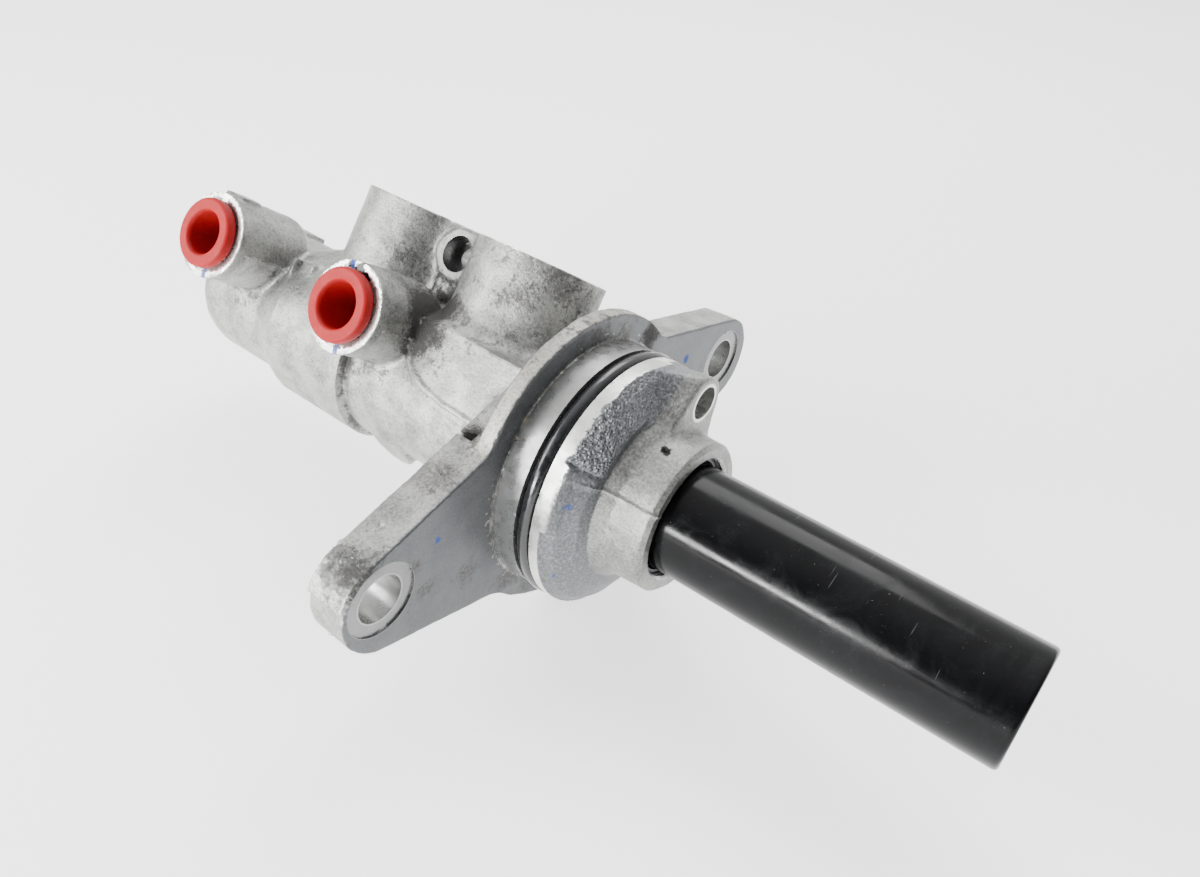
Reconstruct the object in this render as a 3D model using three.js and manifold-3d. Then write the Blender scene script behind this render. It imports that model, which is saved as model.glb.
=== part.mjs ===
// Tandem brake master cylinder, millimetres.
// X is the bore axis and points at the push-rod end. Y joins the two stud holes of the mounting flange.
// The origin is on the bore axis, in the flange's rear face. The casting is clocked about X, so its
// reservoir bosses lean towards +Y and its outlet bosses point towards -Y.

import * as THREE from 'three';
import { mergeVertices } from 'three/addons/utils/BufferGeometryUtils.js';
import Module from 'manifold-3d';

const wasm = await Module();
wasm.setup();

// ---------------------------------------------------------------- driving dimensions

const CLOCKING = THREE.MathUtils.degToRad(34.25); // casting about the bore axis, from the flange's studs
const FIT_GAP = 0.12;                             // sliding and seated round parts
const REST_GAP = 0.3;                             // flat faces that rest on each other

const PISTON_R = 10.6;      // plunger part of both pistons
const ROD_R = 10.32;        // the primary piston behind its stop shoulder
const ROD_END_X = 85.6;
const STOP_SHOULDER_X = 14.7;
const STROKE = 28;          // primary piston
const SECONDARY_STROKE = 14;

const BARREL_R = 14.9;
const BARREL_SAG = 0.7;     // the barrel is cast this far below the bore axis
const BARREL_FRONT_X = -100.5;
const BARREL_BULGE_R = 17.2;
const BORE_END_X = -93.5;
const BORE_LAND_R = PISTON_R + FIT_GAP;
const CHAMBER_R = 11.3;
const SEAL_GROOVE_R = 13.4;
const FEED_RING_R = 12;

const FRONT_BOSS = { x: -58.8, r: 11.7, bore: 8.4, depth: 16, feedX: -65 };
const REAR_BOSS = { x: -25.4, r: 13.3, bore: 9.6, depth: 15, feedX: -18.4 };
const BOSS_TOP = 30.6;      // above the bore axis

const OUTLET_XS = [-83, -42.9];
const OUTLET_RISE = 8.2;    // outlet axis above the bore axis, in the casting's frame
const OUTLET_FACE = 27.2;   // outlet face from the bore axis
const OUTLET_R = 8.9;
const OUTLET_BORE_R = 5.6;
const OUTLET_RECESS = { r: 7.5, depth: 0.3 };   // shallow seat in the outlet's face, round its bore

const FLANGE_R = 29;
const FLANGE_RIM = 3.4;     // thickness of the round rim
const EAR_THICK = 8.6;
const STUD_HALF_SPACING = 48.7;
const STUD_HOLE_R = 4.35;
const EARS = [
  { side: 1, tipY: 48.6, tipR: 10, rootY: 24, rootHalf: 16.6, z: -0.6 },
  { side: -1, tipY: 46.6, tipR: 9.9, rootY: 24, rootHalf: 16.6, z: -1.4 },
];

const SPIGOT_R = 24.1;
const RING_GROOVE = { x0: 5, x1: 8.4, r: 21.4 };
const SPIGOT_END_X = 12;
const NECK_R = 14.6;
const NOSE_END_X = 24.7;
const NOSE_BORE_R = 11.5;
const LUG = { y: 10, z: 17, face: 18.7, r: 5.1, hole: 3.1, floor: 9.8 };

const ROUND = 28;           // sides of the large turned shapes
const MEDIUM = 24;          // sides of rings, seats and washers
const SMALL = 16;           // sides of the small ones

// seal stations along the bore: each groove holds a cup, and the pressure cups a back-up ring too
const STATIONS = {
  secondaryPressure: { x0: -72, x1: -67.6, backup: true },
  secondarySeparating: { x0: -62.4, x1: -59, backup: false },
  primaryPressure: { x0: -26, x1: -21.6, backup: true },
  primarySupply: { x0: -14.6, x1: -11.2, backup: false },
};

// ---------------------------------------------------------------- solids

function solid(geometry) {
  const bare = geometry.index ? geometry.toNonIndexed() : geometry.clone();
  for (const name of Object.keys(bare.attributes)) {
    if (name !== 'position') bare.deleteAttribute(name);
  }
  const merged = mergeVertices(bare, 1e-4);
  const index = Array.from(merged.index.array);
  const kept = [];
  for (let i = 0; i < index.length; i += 3) {
    const [a, b, c] = index.slice(i, i + 3);
    if (a !== b && b !== c && c !== a) kept.push(a, b, c);
  }
  if (signedVolume(merged.attributes.position, kept) < 0) kept.reverse();
  return new wasm.Manifold(new wasm.Mesh({
    numProp: 3,
    vertProperties: new Float32Array(merged.attributes.position.array),
    triVerts: new Uint32Array(kept),
  }));
}

function signedVolume(position, index) {
  const [a, b, c] = [new THREE.Vector3(), new THREE.Vector3(), new THREE.Vector3()];
  let sum = 0;
  for (let i = 0; i < index.length; i += 3) {
    a.fromBufferAttribute(position, index[i]);
    b.fromBufferAttribute(position, index[i + 1]);
    c.fromBufferAttribute(position, index[i + 2]);
    sum += a.dot(b.cross(c)) / 6;
  }
  return sum;
}

function geometryOf(manifold) {
  const mesh = manifold.getMesh();
  const geometry = new THREE.BufferGeometry();
  const points = new Float32Array(mesh.numVert * 3);
  for (let i = 0; i < mesh.numVert; i += 1) {
    for (let k = 0; k < 3; k += 1) points[3 * i + k] = mesh.vertProperties[mesh.numProp * i + k];
  }
  geometry.setAttribute('position', new THREE.BufferAttribute(points, 3));
  geometry.setIndex(new THREE.BufferAttribute(new Uint32Array(mesh.triVerts), 1));
  geometry.computeVertexNormals();
  return geometry;
}

const union = (first, ...rest) => rest.reduce((sum, next) => sum.add(next), first);
const cut = (first, ...rest) => rest.reduce((left, next) => left.subtract(next), first);

// a turned shape about X; the profile is [x, radius] pairs
function turned(profile, sides = ROUND) {
  const points = profile.map(([x, r]) => new THREE.Vector2(r, x));
  return new THREE.LatheGeometry(points, sides).rotateZ(-Math.PI / 2);
}

// a solid of revolution about X whose profile starts and ends on the axis
function shaft(profile, sides = ROUND) {
  const [first, last] = [profile[0], profile[profile.length - 1]];
  return turned([[first[0], 0], ...profile, [last[0], 0]], sides);
}

// a ring about X whose profile closes on itself
function ring(profile, sides = ROUND) {
  return turned([...profile, profile[0]], sides);
}

// a plain cylinder between two points
function rod(from, to, radius, sides = SMALL, endRadius = radius) {
  const a = new THREE.Vector3(...from);
  const b = new THREE.Vector3(...to);
  const geometry = new THREE.CylinderGeometry(endRadius, radius, a.distanceTo(b), sides);
  const turn = new THREE.Quaternion().setFromUnitVectors(
    new THREE.Vector3(0, 1, 0),
    b.clone().sub(a).normalize(),
  );
  geometry.applyQuaternion(turn);
  const middle = a.add(b).multiplyScalar(0.5);
  return geometry.translate(middle.x, middle.y, middle.z);
}

function block(x0, x1, y0, y1, z0, z1) {
  const geometry = new THREE.BoxGeometry(x1 - x0, y1 - y0, z1 - z0);
  return geometry.translate((x0 + x1) / 2, (y0 + y1) / 2, (z0 + z1) / 2);
}

// a flat outline in Y and Z, extruded along X from x0 to x1
function plate(outline, x0, x1, curveSegments = 12) {
  const depth = x1 - x0;
  const geometry = new THREE.ExtrudeGeometry(outline, { depth, bevelEnabled: false, curveSegments });
  const basis = new THREE.Matrix4().makeBasis(
    new THREE.Vector3(0, 1, 0),
    new THREE.Vector3(0, 0, 1),
    new THREE.Vector3(1, 0, 0),
  );
  return geometry.applyMatrix4(basis).translate(x0, 0, 0);
}

// from the casting's frame, where the reservoir bosses point along +Z, to the part's frame
const clocked = (geometry) => geometry.rotateX(-CLOCKING);

// ---------------------------------------------------------------- body casting

function barrel() {
  const profile = shaft([
    [BARREL_FRONT_X, 8.6],
    [BARREL_FRONT_X + 0.9, 11.4],
    [BARREL_FRONT_X + 2.6, 13.2],
    [BARREL_FRONT_X + 5.4, 14.5],
    [BARREL_FRONT_X + 9, BARREL_R],
    [-77, BARREL_R],
    [-69, BARREL_BULGE_R],
    [-48.6, BARREL_BULGE_R],
    [-47.8, BARREL_R + 0.3],
    [-17, BARREL_R + 0.3],
    [-10, 18.4],
    [-5.6, 23.4],
    [-1, 25.6],
  ]);
  return clocked(profile.translate(0, 0, -BARREL_SAG));
}

// the round rim with its two tapered ears
function earOutline() {
  const shape = new THREE.Shape();
  for (const ear of EARS) {
    const taper = Math.atan2(ear.rootHalf - ear.tipR, ear.tipY - ear.rootY);
    const tip = Math.PI / 2 - taper;
    const middle = ear.side > 0 ? 0 : Math.PI;
    shape.lineTo(ear.side * ear.rootY, ear.z - ear.side * ear.rootHalf);
    shape.absarc(ear.side * ear.tipY, ear.z, ear.tipR, middle - tip, middle + tip, false);
    shape.lineTo(ear.side * ear.rootY, ear.z + ear.side * ear.rootHalf);
  }
  shape.closePath();
  return shape;
}

function flange() {
  const edge = 0.5;
  const rim = shaft([
    [-FLANGE_RIM, FLANGE_R - edge],
    [-FLANGE_RIM + edge, FLANGE_R],
    [-edge, FLANGE_R],
    [0, FLANGE_R - edge],
  ]);
  return [rim, plate(earOutline(), -EAR_THICK, 0, 8)];
}

// the spigot that centres the flange in the booster, the ring groove, and the neck
function nose() {
  const fillet = 1.2;
  return shaft([
    [-1, SPIGOT_R],
    [RING_GROOVE.x0, SPIGOT_R],
    [RING_GROOVE.x0, RING_GROOVE.r],
    [RING_GROOVE.x1, RING_GROOVE.r],
    [RING_GROOVE.x1, SPIGOT_R],
    [SPIGOT_END_X - 0.6, SPIGOT_R],
    [SPIGOT_END_X, SPIGOT_R - 0.6],
    [SPIGOT_END_X + 2.4, NECK_R + 3.6],
    [SPIGOT_END_X + 3.3, NECK_R + fillet],
    [SPIGOT_END_X + 5, NECK_R + 0.2],
    [NOSE_END_X - 0.6, NECK_R],
    [NOSE_END_X, NECK_R - 0.6],
  ]);
}

// the small lug on the nose with a hole along X
function noseLug() {
  const tilt = Math.atan2(LUG.z, LUG.y);
  const spread = 9;
  const root = 12;
  const at = (along, across) => [
    along * Math.cos(tilt) - across * Math.sin(tilt),
    along * Math.sin(tilt) + across * Math.cos(tilt),
  ];
  const shape = new THREE.Shape();
  shape.moveTo(...at(root, -spread));
  shape.absarc(LUG.y, LUG.z, LUG.r, tilt - 1.15, tilt + 1.15, false);
  shape.lineTo(...at(root, spread));
  shape.closePath();
  return plate(shape, RING_GROOVE.x1 + 0.6, LUG.face, 8);
}

function reservoirBoss(boss) {
  return clocked(rod([boss.x, 0, 0], [boss.x, 0, BOSS_TOP], boss.r, ROUND));
}

// turns a shape made along X so that it points out of the outlet at x
function atOutlet(geometry, x) {
  geometry.rotateZ(-Math.PI / 2);
  return clocked(geometry.translate(x, 0, OUTLET_RISE));
}

// a round boss that grows out of the barrel's side with a domed inner end
function outletBoss(x) {
  const profile = shaft([
    [7, OUTLET_R - 3.4],
    [9.5, OUTLET_R - 1.5],
    [12.5, OUTLET_R - 0.4],
    [16, OUTLET_R],
    [OUTLET_FACE, OUTLET_R],
  ]);
  return atOutlet(profile, x);
}

const WEB_HOLE = { x: -41.2, z: 25, bore: 2.3, mouth: 3.7, face: 5.6 };

// the web between the reservoir bosses, with a bored boss for the reservoir's retaining pin
function reservoirWeb() {
  const { x, z, face, mouth } = WEB_HOLE;
  return [
    clocked(block(FRONT_BOSS.x, REAR_BOSS.x, -4, 4, 5, BOSS_TOP - 0.6)),
    clocked(rod([x, 4, z], [x, -face, z], mouth + 1.9)),
    clocked(block(x - 3.4, x + 3.4, -face + 0.8, 4, 10, z)),
  ];
}

// raised casting features: a block under the rear boss, two pads and a small foot boss
function castDetails() {
  const outletTop = OUTLET_RISE + OUTLET_R;
  return [
    clocked(block(-33.4, -4, -16.4, 16.4, 0.8, 12)),
    clocked(block(-96.5, -86, -2, 4.5, 10, 14.9)),
    clocked(block(OUTLET_XS[0] - 3, OUTLET_XS[0] + 3, -25.5, -20.5, OUTLET_RISE, outletTop + 0.6)),
    clocked(rod([-38, -1, -10], [-38, -4.6, -16.6], 5.6, SMALL, 5)),
    clocked(block(-70.6, -66.2, -15.2, -6, 6, 11.4)),
  ];
}

function boreProfile() {
  const profile = [[BORE_END_X, CHAMBER_R - 1], [BORE_END_X + 1, CHAMBER_R]];
  const bore = (x0, x1, r) => profile.push([x0, BORE_LAND_R], [x0, r], [x1, r], [x1, BORE_LAND_R]);
  const s = STATIONS;
  profile.push([s.secondaryPressure.x0 - 1.2, CHAMBER_R], [s.secondaryPressure.x0 - 1.2, BORE_LAND_R]);
  bore(s.secondaryPressure.x0, s.secondaryPressure.x1, SEAL_GROOVE_R);
  bore(FRONT_BOSS.feedX - 1.6, FRONT_BOSS.feedX + 1.6, FEED_RING_R);
  bore(s.secondarySeparating.x0, s.secondarySeparating.x1, SEAL_GROOVE_R);
  bore(s.secondarySeparating.x1 + 1.4, s.primaryPressure.x0 - 1.4, CHAMBER_R);
  bore(s.primaryPressure.x0, s.primaryPressure.x1, SEAL_GROOVE_R);
  bore(REAR_BOSS.feedX - 2, REAR_BOSS.feedX + 2, FEED_RING_R);
  bore(s.primarySupply.x0, s.primarySupply.x1, SEAL_GROOVE_R);
  profile.push([BUSH.x0 - FIT_GAP, BORE_LAND_R], [BUSH.x0 - FIT_GAP, NOSE_BORE_R]);
  profile.push([CLIP.x0 - 0.15, NOSE_BORE_R], [CLIP.x0 - 0.15, CLIP.groove]);
  profile.push([CLIP.x1 + 0.15, CLIP.groove], [CLIP.x1 + 0.15, NOSE_BORE_R]);
  const mouth = NOSE_BORE_R + 0.7;
  profile.push([NOSE_END_X - 0.6, NOSE_BORE_R], [NOSE_END_X + 0.1, mouth], [NOSE_END_X + 1, mouth]);
  return profile;
}

// everything the machining removes
function machinedHollows() {
  const hollows = [shaft(boreProfile())];
  for (const boss of [FRONT_BOSS, REAR_BOSS]) {
    const { x, feedX, bore } = boss;
    const floor = BOSS_TOP - boss.depth;
    hollows.push(clocked(rod([x, 0, floor], [x, 0, BOSS_TOP + 1], bore, ROUND)));
    hollows.push(clocked(rod([feedX, 0, CHAMBER_R], [feedX, 0, floor + 1], 1.5)));
  }
  for (const x of OUTLET_XS) {
    const at = (y) => [x, -y, OUTLET_RISE];
    hollows.push(clocked(rod(at(OUTLET_FACE - 11), at(OUTLET_FACE + 1), OUTLET_BORE_R, MEDIUM)));
    hollows.push(clocked(rod(at(7), at(OUTLET_FACE - 10.5), 2)));
    const seat = at(OUTLET_FACE - OUTLET_RECESS.depth);
    hollows.push(clocked(rod(seat, at(OUTLET_FACE + 1), OUTLET_RECESS.r, MEDIUM)));
  }
  const web = (y) => [WEB_HOLE.x, y, WEB_HOLE.z];
  hollows.push(clocked(rod(web(-12), web(12), WEB_HOLE.bore)));
  hollows.push(clocked(rod(web(-12), web(-1.2), WEB_HOLE.mouth)));
  for (const side of [-1, 1]) {
    const y = side * STUD_HALF_SPACING;
    hollows.push(rod([-EAR_THICK - 1, y, 0], [1, y, 0], STUD_HOLE_R, MEDIUM));
    hollows.push(rod([-0.4, y, 0], [1, y, 0], STUD_HOLE_R + 2.6, MEDIUM));
  }
  hollows.push(rod([LUG.floor, LUG.y, LUG.z], [LUG.face + 1, LUG.y, LUG.z], LUG.hole));
  return hollows.map(solid);
}

function bodyCasting() {
  const cast = [
    barrel(),
    ...flange(),
    nose(),
    noseLug(),
    reservoirBoss(FRONT_BOSS),
    reservoirBoss(REAR_BOSS),
    ...OUTLET_XS.map(outletBoss),
    ...reservoirWeb(),
    ...castDetails(),
  ].map(solid);
  return cut(union(...cast), ringGroove(), ...machinedHollows());
}

function ringGroove() {
  const outer = SPIGOT_R + 3;
  return solid(ring([
    [RING_GROOVE.x0, RING_GROOVE.r],
    [RING_GROOVE.x1, RING_GROOVE.r],
    [RING_GROOVE.x1, outer],
    [RING_GROOVE.x0, outer],
  ]));
}

// ---------------------------------------------------------------- seals and guides

function cup(station, lipsForward) {
  const width = 3.1;
  const inner = PISTON_R + FIT_GAP;
  const outer = SEAL_GROOVE_R - FIT_GAP;
  const middle = (inner + outer) / 2;
  const x0 = station.x0 + 0.12;
  const heel = lipsForward ? x0 + width : x0;
  const step = lipsForward ? -1 : 1;
  const at = (along, r) => [heel + step * along, r];
  return ring([
    at(0, inner + 0.2),
    at(1.3, inner + 0.3),
    at(width, inner),
    at(width, inner + 0.5),
    at(1.5, middle),
    at(width, outer - 0.5),
    at(width, outer),
    at(1.3, outer - 0.2),
    at(0, outer - 0.1),
  ], MEDIUM);
}

function backupRing(station) {
  const x0 = station.x1 - 0.12 - 0.9;
  const x1 = station.x1 - 0.12;
  const inner = PISTON_R + FIT_GAP;
  const outer = SEAL_GROOVE_R - FIT_GAP;
  return ring([[x0, inner], [x1, inner], [x1, outer], [x0, outer]], MEDIUM);
}

const BUSH = { x0: 15.2, x1: 18.4 };
const LIP_SEAL = { x0: 18.6, x1: 21.6 };
const CLIP = { x0: 21.9, x1: 22.9, groove: 12.3, inner: 10.75 };

function guideBush() {
  const outer = NOSE_BORE_R - FIT_GAP;
  const inner = ROD_R + FIT_GAP;
  return ring([
    [BUSH.x0, inner + 0.1],
    [BUSH.x1, inner],
    [BUSH.x1, outer],
    [BUSH.x0 + 0.4, outer],
    [BUSH.x0, outer - 0.3],
  ], MEDIUM);
}

function lipSeal() {
  const outer = NOSE_BORE_R - FIT_GAP;
  const inner = ROD_R + FIT_GAP;
  return ring([
    [LIP_SEAL.x0, inner + 0.1],
    [LIP_SEAL.x0 + 1, inner + 0.3],
    [LIP_SEAL.x1, inner],
    [LIP_SEAL.x1, inner + 0.3],
    [LIP_SEAL.x1 - 1, inner + 0.75],
    [LIP_SEAL.x1 - 0.3, outer],
    [LIP_SEAL.x0, outer],
  ], MEDIUM);
}

// an open wire-cut ring, sprung out into its groove
function snapRing() {
  const outline = new THREE.Shape();
  const outer = CLIP.groove - FIT_GAP;
  const gap = 0.32;
  outline.absarc(0, 0, outer, gap, 2 * Math.PI - gap, false);
  outline.absarc(0, 0, CLIP.inner, 2 * Math.PI - gap, gap, true);
  outline.closePath();
  return plate(outline, CLIP.x0, CLIP.x1, 20);
}

function spigotRing() {
  const section = 1.42;
  const middle = (RING_GROOVE.x0 + RING_GROOVE.x1) / 2;
  const torus = new THREE.TorusGeometry(RING_GROOVE.r + 0.2 + section, section, 8, 40);
  return torus.rotateY(Math.PI / 2).translate(middle, 0, 0);
}

// ---------------------------------------------------------------- pistons and springs

const PRIMARY_FRONT_X = -28;
const PRIMARY_POCKET = { r: 8, floor: 13 };
const SOCKET = { r: 6.6, floor: 27 };
const SECONDARY = { x0: -75, x1: -44, pocket: 7.8, floor: -52 };
const RELIEF_HOLES = 4;

function reliefHoles(x) {
  const holes = [];
  for (let i = 0; i < RELIEF_HOLES; i += 1) {
    const angle = ((i + 0.5) * 2 * Math.PI) / RELIEF_HOLES;
    const tip = [x, 20 * Math.cos(angle), 20 * Math.sin(angle)];
    holes.push(solid(rod([x, 0, 0], tip, 0.8, 12)));
  }
  return holes;
}

function primaryPiston() {
  const body = solid(shaft([
    [PRIMARY_FRONT_X, PISTON_R - 0.6],
    [PRIMARY_FRONT_X + 0.6, PISTON_R],
    [STOP_SHOULDER_X - 0.3, PISTON_R],
    [STOP_SHOULDER_X, PISTON_R - 0.3],
    [STOP_SHOULDER_X, ROD_R],
    [ROD_END_X - 0.5, ROD_R],
    [ROD_END_X, ROD_R - 0.5],
  ]));
  const pocket = solid(shaft([
    [PRIMARY_FRONT_X - 1, PRIMARY_POCKET.r],
    [PRIMARY_POCKET.floor, PRIMARY_POCKET.r],
  ], MEDIUM));
  const socket = solid(shaft([
    [SOCKET.floor, 2],
    [SOCKET.floor + 2, SOCKET.r - 1.6],
    [SOCKET.floor + 5, SOCKET.r],
    [ROD_END_X - 1, SOCKET.r],
    [ROD_END_X + 0.1, SOCKET.r + 1.1],
    [ROD_END_X + 1, SOCKET.r + 1.1],
  ], MEDIUM));
  const screwHole = solid(shaft([
    [PRIMARY_POCKET.floor - 1, SCREW.shank + FIT_GAP],
    [SCREW.x1 + 0.5, SCREW.shank + FIT_GAP],
  ], 20));
  return cut(body, pocket, socket, screwHole, ...reliefHoles(STATIONS.primaryPressure.x1 + 0.9));
}

function secondaryPiston() {
  const body = solid(shaft([
    [SECONDARY.x0, PISTON_R - 0.6],
    [SECONDARY.x0 + 0.6, PISTON_R],
    [SECONDARY.x1 - 0.6, PISTON_R],
    [SECONDARY.x1, PISTON_R - 0.6],
  ]));
  const pocket = solid(shaft([
    [SECONDARY.x0 - 1, SECONDARY.pocket],
    [SECONDARY.floor, SECONDARY.pocket],
  ], MEDIUM));
  return cut(body, pocket, ...reliefHoles(STATIONS.secondaryPressure.x1 + 1.9));
}

class Helix extends THREE.Curve {
  constructor(x0, x1, radius, turns) {
    super();
    Object.assign(this, { x0, x1, radius, turns });
  }

  // the end coils lie closer together than the working ones
  getPoint(t, target = new THREE.Vector3()) {
    const angle = 2 * Math.PI * this.turns * t;
    const eased = t - Math.sin(2 * Math.PI * t) / (2 * Math.PI) * 0.75;
    const x = this.x0 + (this.x1 - this.x0) * eased;
    return target.set(x, this.radius * Math.cos(angle), this.radius * Math.sin(angle));
  }
}

function coilSpring(x0, x1, radius, wire, turns) {
  const section = new THREE.Shape();
  section.absarc(0, 0, wire, 0, 2 * Math.PI, false);
  const path = new Helix(x0 + wire, x1 - wire, radius, turns);
  return new THREE.ExtrudeGeometry(section, {
    steps: turns * 11,
    curveSegments: 3,
    bevelEnabled: false,
    extrudePath: path,
  });
}

const RETAINER = { x0: SECONDARY.x1 + REST_GAP, x1: -24, flange: 8.6, tube: 4.3, wall: 0.8 };
const SCREW = { head: 2.9, headX: RETAINER.x1 - RETAINER.wall - REST_GAP - 1.8, shank: 1.5, x1: 20 };
const END_SEAT = { x0: BORE_END_X + REST_GAP, flange: 9.4, tube: 4, length: 8.5, wall: 0.9 };
const POCKET_WASHER = { x1: PRIMARY_POCKET.floor - REST_GAP, thick: 0.9, outer: 7.7, inner: 2.2 };

// a drawn cup on the secondary piston's rear face; the screw's head is caught inside its tube
function springRetainer() {
  const { x0, x1, flange: rim, tube, wall } = RETAINER;
  return ring([
    [x0, tube - wall],
    [x0, rim],
    [x0 + wall, rim],
    [x0 + wall, tube],
    [x1, tube],
    [x1, SCREW.shank + 0.3],
    [x1 - wall, SCREW.shank + 0.3],
    [x1 - wall, tube - wall],
  ], MEDIUM);
}

function retainingScrew() {
  const headX1 = SCREW.headX + 1.8;
  return shaft([
    [SCREW.headX, SCREW.head - 0.4],
    [SCREW.headX + 0.4, SCREW.head],
    [headX1, SCREW.head],
    [headX1, SCREW.shank],
    [SCREW.x1, SCREW.shank],
  ], 20);
}

function endSeat() {
  const { x0, flange: rim, tube, length, wall } = END_SEAT;
  return ring([
    [x0, tube - wall],
    [x0, rim],
    [x0 + wall, rim],
    [x0 + wall, tube],
    [x0 + length, tube],
    [x0 + length, tube - wall],
  ], MEDIUM);
}

function pocketWasher() {
  const { x1, thick, outer, inner } = POCKET_WASHER;
  return ring([[x1 - thick, inner], [x1, inner], [x1, outer], [x1 - thick, outer]], MEDIUM);
}

const SPRING_R = 6.3;
const PRIMARY_WIRE = 1.05;
const SECONDARY_WIRE = 0.95;

function primarySpring() {
  const x0 = RETAINER.x0 + RETAINER.wall + REST_GAP;
  const x1 = POCKET_WASHER.x1 - POCKET_WASHER.thick - REST_GAP;
  return coilSpring(x0, x1, SPRING_R, PRIMARY_WIRE, 9);
}

function secondarySpring() {
  const x0 = END_SEAT.x0 + END_SEAT.wall + REST_GAP;
  return coilSpring(x0, SECONDARY.floor - REST_GAP, SPRING_R, SECONDARY_WIRE, 8);
}

// ---------------------------------------------------------------- outlet plugs

const PLUG = { flange: 7.1, face: 29.4, shank: 5.35, tip: 18.4, mouth: 4.6, floor: 20 };

// a hollow push-in transit plug, turned about X and then aimed out of its outlet
function outletPlug(x) {
  const seat = OUTLET_FACE - OUTLET_RECESS.depth + REST_GAP;
  const profile = shaft([
    [PLUG.tip, PLUG.shank - 0.9],
    [PLUG.tip + 1.2, PLUG.shank - 0.15],
    [seat, PLUG.shank],
    [seat, PLUG.flange - 0.25],
    [seat + 0.3, PLUG.flange],
    [PLUG.face - 0.3, PLUG.flange],
    [PLUG.face, PLUG.flange - 0.3],
    [PLUG.face, PLUG.mouth],
    [PLUG.face - 0.5, PLUG.mouth - 0.3],
    [PLUG.floor, PLUG.mouth - 0.6],
  ], MEDIUM);
  return atOutlet(profile, x);
}

// ---------------------------------------------------------------- assembly

const finish = (color, roughness, metalness) => ({ color, roughness, metalness });

const FINISHES = {
  castAluminium: finish(0xb4b4b2, 0.55, 0.85),
  hardAnodised: finish(0x17181a, 0.22, 0.35),
  springSteel: finish(0x6f7276, 0.35, 0.9),
  zincSteel: finish(0xb9b7a6, 0.35, 0.9),
  blackSteel: finish(0x26272a, 0.4, 0.8),
  rubber: finish(0x141416, 0.4, 0),
  guidePlastic: finish(0x2a2a2c, 0.5, 0),
  backupPlastic: finish(0xe7e2d4, 0.5, 0),
  plugPlastic: finish(0xd8352a, 0.3, 0),
};

function piece(name, shape, look) {
  const geometry = shape.getMesh ? geometryOf(shape) : geometryOf(solid(shape));
  const mesh = new THREE.Mesh(geometry, new THREE.MeshStandardMaterial(look));
  mesh.name = name;
  return mesh;
}

const assembly = new THREE.Group();
const { castAluminium, hardAnodised, springSteel, zincSteel, blackSteel } = FINISHES;
const { rubber, guidePlastic, backupPlastic, plugPlastic } = FINISHES;

assembly.add(
  piece('body_casting', bodyCasting(), castAluminium),
  piece('spigot_o_ring', spigotRing(), rubber),
  piece('guide_bush', guideBush(), guidePlastic),
  piece('dust_lip_seal', lipSeal(), rubber),
  piece('snap_ring', snapRing(), blackSteel),
  piece('primary_pressure_cup', cup(STATIONS.primaryPressure, true), rubber),
  piece('primary_backup_ring', backupRing(STATIONS.primaryPressure), backupPlastic),
  piece('primary_supply_cup', cup(STATIONS.primarySupply, true), rubber),
  piece('secondary_pressure_cup', cup(STATIONS.secondaryPressure, true), rubber),
  piece('secondary_backup_ring', backupRing(STATIONS.secondaryPressure), backupPlastic),
  piece('secondary_separating_cup', cup(STATIONS.secondarySeparating, false), rubber),
  piece('secondary_spring_seat', endSeat(), zincSteel),
  piece('secondary_return_spring', secondarySpring(), springSteel),
  piece('secondary_piston', secondaryPiston(), hardAnodised),
  piece('spring_retainer_cup', springRetainer(), zincSteel),
  piece('primary_return_spring', primarySpring(), springSteel),
  piece('spring_seat_washer', pocketWasher(), zincSteel),
  piece('spring_retaining_screw', retainingScrew(), zincSteel),
  piece('primary_piston', primaryPiston(), hardAnodised),
  piece('front_outlet_plug', outletPlug(OUTLET_XS[0]), plugPlastic),
  piece('rear_outlet_plug', outletPlug(OUTLET_XS[1]), plugPlastic),
);

export default assembly;
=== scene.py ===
"""A tandem brake master cylinder: the looks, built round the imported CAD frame.

Shapes are worked out in millimetres in the part's own frame (X along the bore, Z up) and scaled to
metres when a mesh is made. The casting is a signed distance field turned into a mesh; everything else is
turned, swept or extruded.
"""
import math

import bmesh
import bpy
import numpy as np
from mathutils import Euler, Matrix, Vector


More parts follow.
